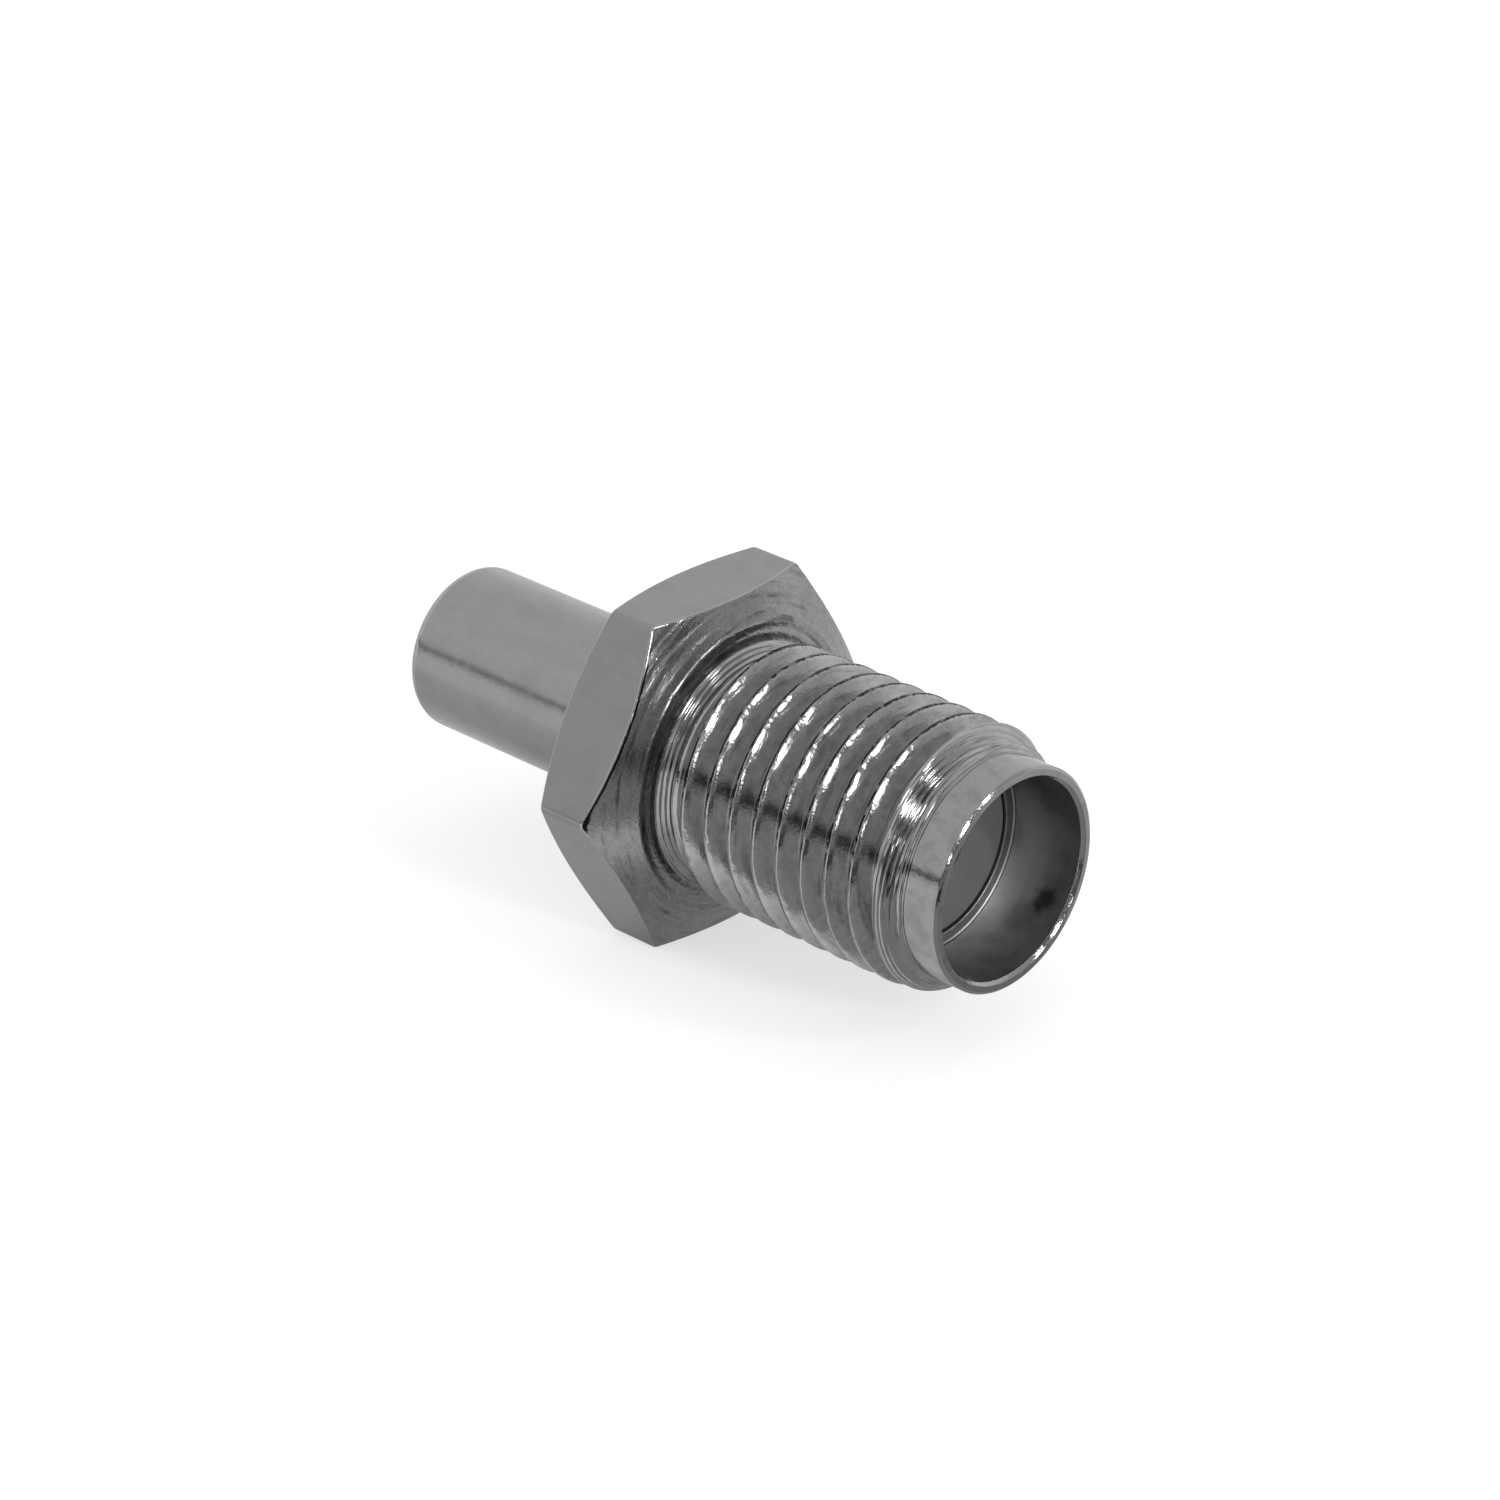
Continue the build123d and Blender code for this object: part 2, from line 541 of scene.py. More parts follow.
@dataclass(frozen=True)
class RimShade:
    """A thin dark line of painted shade inside the hexagon's edges on the -Y side, wider at the corner.

    Attributes:
        strength: how dark it is.
        inset: how far inside the edge it runs, in millimetres.
        stray: how far it strays.
        half_width: half its width where it is darkest, and with its soft edge.
        chip: how many times its width the chip at the corner adds.
        chip_at: Z part of the way out to the chip.
        chip_reach: how far from there it ends, on the same scale.
        side: parts of the way out to the -Y side between which the line comes up.
        low_end: Z parts of the way out between which it ends below.
    """

    strength: float = 0.95
    inset: float = 0.05
    stray: float = 0.05
    half_width: tuple[float, float] = (0.018, 0.034)
    chip: float = 3.0
    chip_at: float = 0.01
    chip_reach: float = 0.05
    side: tuple[float, float] = (0.55, 0.66)
    low_end: tuple[float, float] = (-0.06, -0.02)

    def darkness(self, at: Patterns) -> Signal:
        """How far the painted shade darkens the tone.

        Args:
            at: the point and its noises.

        Returns:
            The share of the tone that it takes away.
        """
        graph, place = at.graph, at.place
        reach = graph.math("ABSOLUTE", place.turn_z)
        for slant in (math.sqrt(0.75), -math.sqrt(0.75)):
            reach = reach.at_least(graph.math("ABSOLUTE", 0.5 * place.turn_z + slant * place.turn_y))
        rim = HALF_FLATS - place.radius * reach
        from_corner = graph.math("ABSOLUTE", place.turn_z - self.chip_at)
        wide = 1.0 + self.chip * (1.0 - from_corner.step(0.0, self.chip_reach))
        off = graph.math("ABSOLUTE", rim - self.inset - self.stray * (at.stains - 0.5))
        core, soft = self.half_width
        # Painted shade, kept to the -Y side of the hexagon.
        left = (0.0 - place.turn_y).step(*self.side) * place.turn_z.step(*self.low_end)
        return (1.0 - off.step(wide * core, wide * soft)) * left * self.strength


@dataclass(frozen=True)
class Metal:
    """A plated finish that the lathe or the drawing die has marked.

    Attributes:
        name: the material's name.
        tone: how bright the plating is.
        tone_spread: how far stains darken it.
        rough: roughness of the plating.
        rough_spread: how far it varies.
        mark_rate: tool marks for each millimetre.
        mark_depth: height of the marks in millimetres.
        mark_turn: how fast a mark changes round the axis.
        mark_tone: how far the marks change the tone.
        stain_rate: stains for each millimetre.
        pit_rate: fine specks for each millimetre.
        pit_depth: height of the specks in millimetres.
        speck: how far the specks change the tone.
        lengthwise: whether the marks run along the axis, as on drawn bar.
        colour: hue of the plating.
        burnish_from: radius from which a coupling nut has burnished it, or 0.
        burnish_to: radius at which it is burnished most.
        burnished: roughness there.
        shade_below: how far painted shade darkens the tone below the burnished radius.
        ridges: coarse turned ridges, if it has them.
        flaws_and_shade: what darkens the tone apart from the stains: scuffs and smudges, and painted shade in
            the grooves, along the crests and inside the hexagon's edges.
        stain_edge: levels of the noise between which a stain comes up.
    """

    name: str
    tone: float = 0.27
    tone_spread: float = 0.2
    rough: float = 0.2
    rough_spread: float = 0.05
    mark_rate: float = 12.0
    mark_depth: float = 0.0004
    mark_turn: float = 1.5
    mark_tone: float = 0.1
    stain_rate: float = 1.2
    pit_rate: float = 9.0
    pit_depth: float = 0.0004
    speck: float = 0.12
    lengthwise: bool = False
    colour: tuple[float, float, float] = (1.0, 1.0, 1.0)
    burnish_from: float = 0.0
    burnish_to: float = 0.0
    burnished: float = 0.08
    shade_below: float = 0.0
    ridges: Ridges | None = None
    flaws_and_shade: tuple[Scuffs | GrooveShade | CrestSeamShade | RimShade | Smudge, ...] = ()
    stain_edge: tuple[float, float] = (0.42, 0.68)

    def marks(self, graph: Graph, place: LathePlace) -> Signal:
        """Tool marks, as rings round the axis or as lines along it.

        Args:
            graph: the material.
            place: where the point lies.

        Returns:
            The marks' noise, from 0 to 1.
        """
        if self.lengthwise:
            x, y, z = graph.split(place.point)
            return graph.noise(graph.vector(x * self.mark_turn, y * self.mark_rate, z * self.mark_rate), 1.0)
        ring = place.ring(self.mark_rate, self.mark_turn)
        return graph.noise(ring, 1.0, 3.0, place.radius * self.mark_rate)

    def build(self) -> bpy.types.Material:
        """Makes the material.

        Returns:
            The material.
        """
        material, graph, shader = start_material(self.name)
        place = LathePlace.of(graph)
        marks = self.marks(graph, place)
        stains = graph.noise(place.point, self.stain_rate, 4.0)
        at = Patterns(graph, place, marks, stains)
        pits = graph.noise(place.point, self.pit_rate, 3.0)
        tone = self.tone * (1.0 - self.tone_spread * stains.step(*self.stain_edge))
        tone = tone * (1.0 + self.mark_tone * (marks - 0.5)) * (1.0 + self.speck * (pits - 0.5))
        rough = self.rough + self.rough_spread * (stains + pits - 1.0)
        if self.burnish_from:
            burnish = place.radius.step(self.burnish_from, self.burnish_to)
            rough = rough + (self.burnished - rough) * burnish
            # Painted shade: darker below the burnished radius, down the flanks and in the grooves.
            tone = tone * (1.0 - self.shade_below * (1.0 - burnish))
        for darkening in self.flaws_and_shade:
            tone = tone * (1.0 - darkening.darkness(at))
        height = marks * self.mark_depth + pits * self.pit_depth
        if self.ridges:
            height = height + self.ridges.height(at)
        surface = {
            "Base Color": graph.scale(self.colour, tone),
            "Roughness": rough,
            "Normal": graph.bump(height),
            "Metallic": 1.0,
        }
        graph.feed(shader, surface)
        return material


@dataclass(frozen=True)
class Bead:
    """The dull plastic of the insulators, in a grey that is painted shade: the plastic is white, but sits in
    the shade of the mouth.

    Attributes:
        name: the material's name.
        tone: how bright it is, kept low as painted shade.
        colour: its hue.
        rough: its roughness.
        gloss: level of its reflections.
        cloud_rate: clouds for each millimetre.
        cloud_tone: how far they change the tone.
        cloud_rough: how far they change the roughness.
        ring_rate: turned rings for each millimetre.
        ring_turn: how fast a ring changes round the axis.
        ring_tone: how far the rings change the tone.
        ring_depth: their height in millimetres.
    """

    name: str = "insulator_bead"
    # Painted shade: white plastic given a dark grey tone.
    tone: float = 0.165
    colour: tuple[float, float, float] = (1.0, 0.998, 0.99)
    rough: float = 0.5
    gloss: float = 0.3
    cloud_rate: float = 1.6
    cloud_tone: float = 0.2
    cloud_rough: float = 0.1
    ring_rate: float = 14.0
    ring_turn: float = 1.5
    ring_tone: float = 0.1
    ring_depth: float = 0.002

    def build(self) -> bpy.types.Material:
        """Makes the material.

        Returns:
            The material.
        """
        material, graph, shader = start_material(self.name)
        place = LathePlace.of(graph)
        cloud = graph.noise(place.point, self.cloud_rate, 3.0)
        around = graph.vector(place.turn_y, place.turn_z, 0.0)
        ring = graph.noise(around, self.ring_turn, 2.0, place.radius * self.ring_rate)
        tone = self.tone * (1.0 + self.cloud_tone * (cloud - 0.5)) * (1.0 + self.ring_tone * (ring - 0.5))
        surface = {
            "Base Color": graph.scale(self.colour, tone),
            "Roughness": self.rough + self.cloud_rough * (cloud - 0.5),
            "Normal": graph.bump(ring * self.ring_depth),
            "Specular IOR Level": self.gloss,
        }
        graph.feed(shader, surface)
        return material


FINISHES = {
    Zone.BAR: Metal(
        "bar_stock_flat", 0.25, 0.06, 0.3, 0.04, mark_rate=7.0, mark_depth=0.0004, mark_turn=0.4,
        mark_tone=0.08, pit_rate=16.0, pit_depth=0.0007, lengthwise=True,
    ),
    Zone.FACED: Metal(
        "faced_chamfer", 0.29, 0.12, 0.2, 0.06, mark_rate=9.0, mark_depth=0.007, mark_turn=1.2,
        mark_tone=0.4, stain_rate=5.0, pit_rate=18.0, pit_depth=0.0016, speck=0.9,
        ridges=Ridges(pitch=0.28, depth=0.011, stray=1.0, patches=(0.2, 0.6), across=True),
        flaws_and_shade=(Scuffs(0.55), RimShade()),
    ),
    Zone.PLAIN: Metal(
        "plain_turned", 0.28, 0.2, 0.14, 0.04, mark_rate=5.0, mark_depth=0.0006, mark_turn=1.0,
        stain_rate=2.5, pit_rate=7.0, pit_depth=0.003, speck=0.2,
    ),
    Zone.TUBE: Metal(
        "plain_tube", 0.28, 0.06, 0.2, 0.04, mark_rate=2.5, mark_depth=0.0004, mark_turn=0.12,
        mark_tone=0.2, pit_rate=6.0, pit_depth=0.004, lengthwise=True,
    ),
    # Painted shade: the bore's tone is set lower than the outside plating's.
    Zone.BORE: Metal(
        "bore_wall", 0.23, 0.35, 0.55, 0.05, stain_rate=0.8, mark_rate=9.0, mark_depth=0.0015,
        mark_turn=1.0, mark_tone=0.2, flaws_and_shade=(Smudge(centre=(1.34, 1.85, -1.45)),),
    ),
    # Partly wear and partly painted highlight: a brighter, smoother tone on worn edges and lips.
    Zone.EDGE: Metal("worn_edge_and_highlight", 0.35, 0.1, 0.12, 0.03, mark_rate=12.0, mark_depth=0.011, mark_turn=11.0),
    Zone.SEAT: Metal("jack_seat", 0.42, 0.2, 0.42, 0.05, mark_rate=7.0, mark_depth=0.001, mark_turn=1.0),
    Zone.THREAD: Metal(
        "rolled_thread", 0.41, 0.14, 0.13, 0.04, mark_rate=7.0, mark_depth=0.005, mark_turn=0.9,
        mark_tone=0.3, stain_rate=4.0, pit_rate=15.0, pit_depth=0.0034, speck=0.4,
        burnish_from=3.0, burnish_to=3.07, burnished=0.12, shade_below=0.1,
        flaws_and_shade=(Scuffs(0.3), GrooveShade(), CrestSeamShade()),
    ),
    Zone.SHOULDER: Metal(
        "turned_shoulder", 0.36, 0.1, 0.12, 0.03, mark_rate=8.0, mark_depth=0.011, mark_turn=2.2,
        mark_tone=0.4, ridges=Ridges(pitch=0.075, depth=0.008, stray=4.0, patches=(0.1, 0.5)),
        flaws_and_shade=(Scuffs(0.3),),
    ),
    # Painted shade: the narrow step between the bore and the seat is nearly black.
    Zone.SHADED_CREVICE: Metal("painted_shade_in_crevice", 0.04, 0.3, 0.4, 0.05),
    Zone.GILT: Metal(
        "gilt_contact", 0.6, 0.15, 0.22, 0.05, mark_rate=9.0, mark_depth=0.0004, mark_turn=1.0,
        mark_tone=0.08, colour=(1.0, 0.78, 0.42),
    ),
    Zone.BEAD: Bead(),
}


class Finishes:
    """Makes each finish once and hands it out."""

    def __init__(self) -> None:
        """Starts with nothing made."""
        self.made: dict[Zone, bpy.types.Material] = {}

    def get(self, zone: Zone) -> bpy.types.Material:
        """The finish of a zone.

        Args:
            zone: the zone.

        Returns:
            Its material.
        """
        if zone not in self.made:
            self.made[zone] = FINISHES[zone].build()
        return self.made[zone]


# Turned forms

Column = np.ndarray | float


@dataclass
class Corner:
    """A corner of a half section.

    Attributes:
        station: place along the axis, one number or one for each column.
        radius: distance from the axis, likewise.
        zone: finish of the run that starts here.
        round: radius of the corner's round, or 0 where it stays sharp.
        worn_and_highlit: whether the round itself is bright, from wear and from a painted highlight.
    """

    station: Column
    radius: Column
    zone: Zone = Zone.PLAIN
    round: float = 0.0
    worn_and_highlit: bool = False


@dataclass
class Section:
    """A half section that is swept round the axis, with small rounds on its corners.

    Attributes:
        corners: its corners in order, with the material to the left of the way they run.
        angles: the columns' angles about the axis.
        closed: whether the last corner runs back to the first.
        steps: facets of a round.
        hold: how far past a round the next row of vertices keeps the flat surface flat.
        share: the most that a round and its row may take of a flat.
        rows: the rows of vertices, each with a station and a radius for every column.
        zones: finish of the strip that starts at each row.
    """

    corners: list[Corner]
    angles: np.ndarray
    closed: bool = True
    steps: int = 3
    hold: float = 0.03
    share: float = 0.45
    rows: list[np.ndarray] = field(default_factory=list)
    zones: list[Zone] = field(default_factory=list)

    def point(self, corner: Corner) -> np.ndarray:
        """Station and radius of a corner for every column."""
        blank = np.zeros_like(self.angles)
        return np.stack([blank + corner.station, blank + corner.radius], axis=1)

    def add_row(self, row: np.ndarray, zone: Zone) -> None:
        """Adds a row of vertices, with the finish of the strip that starts at it."""
        self.rows.append(row)
        self.zones.append(zone)

    def add_round(self, corner: Corner, before: np.ndarray, here: np.ndarray, after: np.ndarray) -> None:
        """Adds the rows of a rounded corner, with a row on each side that keeps the flat surface flat.

        Args:
            corner: the corner.
            before: station and radius of the corner before it, for every column.
            here: its own.
            after: those of the corner after it.
        """
        back = before - here
        ahead = after - here
        back_length = np.linalg.norm(back, axis=1, keepdims=True)
        ahead_length = np.linalg.norm(ahead, axis=1, keepdims=True)
        back = back / back_length
        ahead = ahead / ahead_length
        half = np.arccos(np.clip((back * ahead).sum(1, keepdims=True), -1, 1)) / 2
        reach = corner.round / np.tan(half)
        weight = np.sin(half)
        zone_before = self.zones[-1] if self.zones else self.corners[-1].zone
        zone_round = Zone.EDGE if corner.worn_and_highlit else zone_before
        self.add_row(here + back * np.minimum(reach + self.hold, back_length * self.share), zone_before)
        for k in range(self.steps + 1):
            t = k / self.steps
            start, mid, end = (1 - t) ** 2, 2 * weight * t * (1 - t), t * t
            pull = (start * back * reach + end * ahead * reach) / (start + mid + end)
            self.add_row(here + pull, zone_round if k < self.steps else corner.zone)
        self.add_row(here + ahead * np.minimum(reach + self.hold, ahead_length * self.share), corner.zone)

    def lay_rows(self) -> None:
        """Works out the rows of vertices. The two ends of an open section stay sharp."""
        points = [self.point(corner) for corner in self.corners]
        last = len(points) - 1
        for i, corner in enumerate(self.corners):
            if corner.round == 0 or (not self.closed and i in (0, last)):
                self.add_row(points[i], corner.zone)
            else:
                self.add_round(corner, points[i - 1], points[i], points[0 if i == last else i + 1])

    def mesh(self, name: str, finishes: Finishes) -> bpy.types.Mesh:
        """Sweeps the section round the axis.

        Args:
            name: the mesh's name.
            finishes: where its materials come from.

        Returns:
            The mesh in millimetres, with one material for each zone.
        """
        self.lay_rows()
        columns = len(self.angles)
        rows = np.array(self.rows)
        y = rows[:, :, 1] * np.cos(self.angles)
        z = rows[:, :, 1] * np.sin(self.angles)
        vertices = np.stack([rows[:, :, 0], y, z], axis=2).reshape(-1, 3)
        strips = len(rows) if self.closed else len(rows) - 1
        used = list(dict.fromkeys(self.zones[:strips]))
        faces, slots = [], []
        for i in range(strips):
            low = i * columns
            high = (i + 1) % len(rows) * columns
            for j in range(columns):
                k = (j + 1) % columns
                faces.append((low + j, low + k, high + k, high + j))
                slots.append(used.index(self.zones[i]))
        mesh = bpy.data.meshes.new(name)
        mesh.from_pydata(vertices.tolist(), [], faces)
        for zone in used:
            mesh.materials.append(finishes.get(zone))
        mesh.polygons.foreach_set("material_index", slots)
        mesh.shade_smooth()
        mesh.update()
        return mesh


def even_columns(count: int) -> np.ndarray:
    """Angles of evenly spaced columns."""
    return np.arange(count) * math.tau / count


def place_mesh(name: str, mesh: bpy.types.Mesh, node: str) -> bpy.types.Object:
    """Turns a finished mesh to metres and puts it in the place of a node.

    Args:
        name: the piece's name.
        mesh: its mesh, in millimetres.
        node: the solid that it stands for.

    Returns:
        The piece.
    """
    mesh.transform(Matrix.Scale(METRES, 4))
    piece = bpy.data.objects.new(name, mesh)
    bpy.context.scene.collection.objects.link(piece)
    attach(piece, BODY)
    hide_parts(node)
    LOG.info("%s: %d faces in the place of %s", name, len(mesh.polygons), node)
    return piece


Setting = int | float | bpy.types.Material
SOCKET_TYPES = {
    int: "NodeSocketInt",
    float: "NodeSocketFloat",
    bpy.types.Material: "NodeSocketMaterial",
}


@dataclass
class ThreadRoller:
    """Geometry nodes that roll a helical thread onto a turned blank and close it to the blank's two rims.

    Attributes:
        start: rim at the hexagon, where the relief starts to rise.
        end: rim at the nose, past the round at its root.
        shoulder_start: where the shoulder starts to fall.
        shoulder_length: how far it falls along the axis.
        crest: radius over the crests.
        root: radius of the roots.
        relief: radius of the relief.
        nose: radius of the nose.
        pitch: from crest to crest.
        phase: station of a crest at angle 0.
        columns: facets round the axis.
        crowding: how far the columns crowd towards the hexagon's corners.
        row_offsets: where the rows of vertices lie from the middle of a crest to the middle of the groove.
        wander: how far the worn edges of a crest stray along the axis.
        wander_rate: how often they stray in a millimetre.
        nick: depth of the nicks in the crests.
        nick_rate: how often one may come in a millimetre.
        nick_edge: levels of the noise between which a nick gets deep.
        nick_reach: how far it reaches from the middle of the crest, as a multiple of the land.
        land: width of the crests' tops.
        facet: width of the worn facets beside them.
        facet_slope: fall of a facet for each millimetre along the axis.
        crest_blend: size of the rounds between land, facet and flank.
        groove_blend: size of the round at the bottom of the groove.
        root_blend: size of the round at the nose's root.
        weld: how near the rims of band and blank are merged.
    """

    start: float
    end: float
    shoulder_start: float
    shoulder_length: float
    crest: float
    root: float
    relief: float
    nose: float
    pitch: float = THREAD_PITCH
    phase: float = THREAD_PHASE
    columns: int = 288
    crowding: float = 0.8
    row_offsets: tuple[float, ...] = (
        0.0, 0.02, 0.032, 0.048, 0.066, 0.084, 0.102, 0.125, 0.19, 0.26, 0.285, 0.305, 0.3528,
    )
    wander: float = 0.04
    wander_rate: float = 7.0
    nick: float = 0.03
    nick_rate: float = 3.1
    nick_edge: tuple[float, float] = (0.56, 0.72)
    nick_reach: float = 1.6
    land: float = 0.07
    facet: float = 0.05
    facet_slope: float = 1.28
    crest_blend: float = 0.008
    groove_blend: float = 0.11
    root_blend: float = 0.1
    weld: float = 0.0008

    def settings(self, finishes: Finishes) -> dict[str, Setting]:
        """Values of the tree's inputs.

        Args:
            finishes: where the materials come from.

        Returns:
            A value for each input's name.
        """
        rows = 2 * (len(self.row_offsets) - 1)
        fall = self.crest - self.nose
        run = self.shoulder_length
        lead = math.floor((self.start - self.phase) / self.pitch) - 1
        first = self.phase + lead * self.pitch
        turns = math.ceil((self.end - first) / self.pitch)
        return {
            "Columns": self.columns,
            "Rows": turns * rows,
            "Rows per Pitch": float(rows),
            "Pitch": self.pitch,
            "First Crest": first,
            "Start": self.start,
            "End": self.end,
            "Shoulder Start": self.shoulder_start,
            "Shoulder Round": (run * run + fall * fall) / (2 * fall),
            "Crest Radius": self.crest,
            "Root Radius": self.root,
            "Relief Radius": self.relief,
            "Nose Radius": self.nose,
            "Land": self.land,
            "Facet": self.facet,
            "Facet Slope": self.facet_slope,
            "Root Blend": self.root_blend,
            "Column Crowding": self.crowding,
            "Wander": self.wander,
            "Nick": self.nick,
            "Thread Finish": finishes.get(Zone.THREAD),
            "Shoulder Finish": finishes.get(Zone.SHOULDER),
        }

    def build_tree(self, settings: dict[str, Setting]) -> bpy.types.NodeTree:
        """Builds the tree that makes the threaded band and joins it to the blank.

        Args:
            settings: values of its inputs, by name.

        Returns:
            The tree.
        """
        tree = bpy.data.node_groups.new("thread_roller", "GeometryNodeTree")
        tree.interface.new_socket(name="Geometry", in_out="OUTPUT", socket_type="NodeSocketGeometry")
        tree.interface.new_socket(name="Blank", in_out="INPUT", socket_type="NodeSocketGeometry")
        for name, value in settings.items():
            tree.interface.new_socket(name=name, in_out="INPUT", socket_type=SOCKET_TYPES[type(value)])
        graph = Graph(tree)
        given = graph.node("NodeGroupInput")
        size = {name: graph.out(given, name) for name in settings}
        band = graph.node(
            "GeometryNodeStoreNamedAttribute",
            {"data_type": "BOOLEAN", "domain": "FACE"},
            {"Geometry": self.band(graph, size), "Name": "rolled", "Value": True},
        )
        joined = graph.node("GeometryNodeJoinGeometry")
        for part in (graph.out(given, "Blank"), graph.out(band)):
            graph.feed(joined, {0: part})
        whole = graph.out(joined)
        for kind, inputs in (
            ("GeometryNodeMergeByDistance", {"Distance": self.weld}),
            ("GeometryNodeSetShadeSmooth", {}),
            ("GeometryNodeRealizeInstances", {}),
        ):
            whole = graph.out(graph.node(kind, inputs={"Geometry": whole, **inputs}))
        named = graph.node("GeometryNodeInputNamedAttribute", {"data_type": "BOOLEAN"}, {"Name": "rolled"})
        rolled = graph.out(named)
        here, _, _ = graph.split(graph.out(graph.node("GeometryNodeInputPosition")))
        on_shoulder = rolled * graph.math("GREATER_THAN", here, size["Shoulder Start"])
        for chosen, finish in ((rolled, "Thread Finish"), (on_shoulder, "Shoulder Finish")):
            inputs = {"Geometry": whole, "Selection": chosen, "Material": size[finish]}
            whole = graph.out(graph.node("GeometryNodeSetMaterial", inputs=inputs))
        graph.node("NodeGroupOutput", inputs={0: whole})
        return tree

    def band(self, graph: Graph, size: dict[str, Signal]) -> Signal:
        """Adds the nodes that bend a grid to the threaded band.

        Args:
            graph: the tree.
            size: its named inputs.

        Returns:
            The band.
        """
        vertices = {"Vertices X": size["Columns"] + 1.0, "Vertices Y": size["Rows"] + 1.0}
        grid = graph.node("GeometryNodeMeshGrid", inputs={"Size X": 1.0, "Size Y": 1.0, **vertices})
        across, along, _ = graph.split(graph.out(graph.node("GeometryNodeInputPosition")))
        sector = (across + 0.5) * 6.0
        turn = (sector - size["Column Crowding"] * graph.math("SINE", sector * math.tau) / math.tau) / 6.0
        angle = turn * math.tau
        pitches = (along + 0.5) * size["Rows"] / size["Rows per Pitch"]
        nearest = graph.math("ROUND", pitches)
        off = self.spread_rows(graph, graph.math("ABSOLUTE", pitches - nearest) * 2.0)
        off = off * graph.math("SIGN", pitches - nearest)
        free = size["First Crest"] + size["Pitch"] * (nearest + off / 2.0 + turn)
        station = free.at_least(size["Start"]).at_most(size["End"])
        from_crest = graph.math("ABSOLUTE", off) * size["Pitch"] / 2.0
        cosine = graph.math("COSINE", angle)
        sine = graph.math("SINE", angle)
        around = graph.vector(station, cosine * self.crest, sine * self.crest)
        radius = self.profile(graph, size, station, from_crest, around)
        place = graph.vector(station, radius * cosine, radius * sine)
        inputs = {"Geometry": graph.out(grid, "Mesh"), "Position": place}
        return graph.out(graph.node("GeometryNodeSetPosition", inputs=inputs))

    def spread_rows(self, graph: Graph, evenly: Signal) -> Signal:
        """Moves rows that are spaced evenly from crest to groove to where the profile bends.

        Args:
            graph: the tree.
            evenly: a row's even place, from 0 on the crest to 1 in the groove.

        Returns:
            Its place after the move, on the same scale.
        """
        curve = graph.node("ShaderNodeFloatCurve", inputs={"Value": evenly})
        points = curve.mapping.curves[0].points
        last = len(self.row_offsets) - 1
        while len(points) <= last:
            points.new(0.5, 0.5)
        for i, offset in enumerate(self.row_offsets):
            points[i].location = (i / last, min(offset / self.pitch * 2, 1.0))
            points[i].handle_type = "VECTOR"
        curve.mapping.update()
        return graph.out(curve)

    def profile(
        self, graph: Graph, size: dict[str, Signal], station: Signal, off: Signal, around: Signal
    ) -> Signal:
        """Radius of the thread at each vertex.

        Args:
            graph: the tree.
            size: its named inputs.
            station: place along the axis.
            off: distance along the axis from the nearest crest.
            around: place on a cylinder over the crests, for noise.

        Returns:
            The radius, inside the relief's slope and the shoulder's round.
        """
        crest = size["Crest Radius"]
        ragged = (graph.noise(around, self.wander_rate, 3.0) - 0.5) * size["Wander"]
        half_land = size["Land"] / 2.0 + ragged
        facet = crest - (off - half_land) * size["Facet Slope"]
        bend = size["Land"] / 2.0 + size["Facet"]
        bend_radius = crest - size["Facet"] * size["Facet Slope"]
        flank = bend_radius - (off - bend) * FLANK_SLOPE
        top = graph.math("SMOOTH_MIN", crest, facet, self.crest_blend)
        top = graph.math("SMOOTH_MIN", top, flank, self.crest_blend)
        bite = graph.noise(around, self.nick_rate, 3.0).step(*self.nick_edge) * size["Nick"]
        near = 1.0 - off.step(0.0, size["Land"] * self.nick_reach)
        groove = graph.math("SMOOTH_MAX", top - bite * near, size["Root Radius"], self.groove_blend)
        rise = size["Relief Radius"] + (station - size["Start"])
        past = (station - size["Shoulder Start"]).at_least(0.0)
        bow = size["Shoulder Round"]
        fall = crest - bow + (bow * bow - past * past).at_least(0.0).root()
        turned = groove.at_most(rise).at_most(fall)
        blended = graph.math("SMOOTH_MAX", turned, size["Nose Radius"], size["Root Blend"])
        on_nose = graph.math("GREATER_THAN", past, TOUCH)
        return turned + (blended - turned) * on_nose

    def column_angles(self) -> np.ndarray:
        """Angles of the columns, crowded towards the hexagon's corners as the tree has them.

        Returns:
            An angle for each column.
        """
        sector = np.arange(self.columns) / self.columns * 6
        turn = (sector - self.crowding * np.sin(sector * math.tau) / math.tau) / 6
        return turn * math.tau

    def roll(self, blank: bpy.types.Mesh, finishes: Finishes) -> bpy.types.Mesh:
        """Rolls the thread onto a blank.

        Args:
            blank: the turned blank, open between its two rims.
            finishes: where the materials come from.

        Returns:
            The finished mesh.
        """
        settings = self.settings(finishes)
        tree = self.build_tree(settings)
        holder = bpy.data.objects.new("thread_blank", blank)
        bpy.context.scene.collection.objects.link(holder)
        modifier = holder.modifiers.new("thread_roller", "NODES")
        modifier.node_group = tree
        for socket in tree.interface.items_tree:
            if socket.name in settings:
                modifier[socket.identifier] = settings[socket.name]
        evaluated = holder.evaluated_get(bpy.context.evaluated_depsgraph_get())
        mesh = bpy.data.meshes.new_from_object(evaluated)
        holder.modifiers.clear()
        bpy.data.objects.remove(holder)
        return mesh


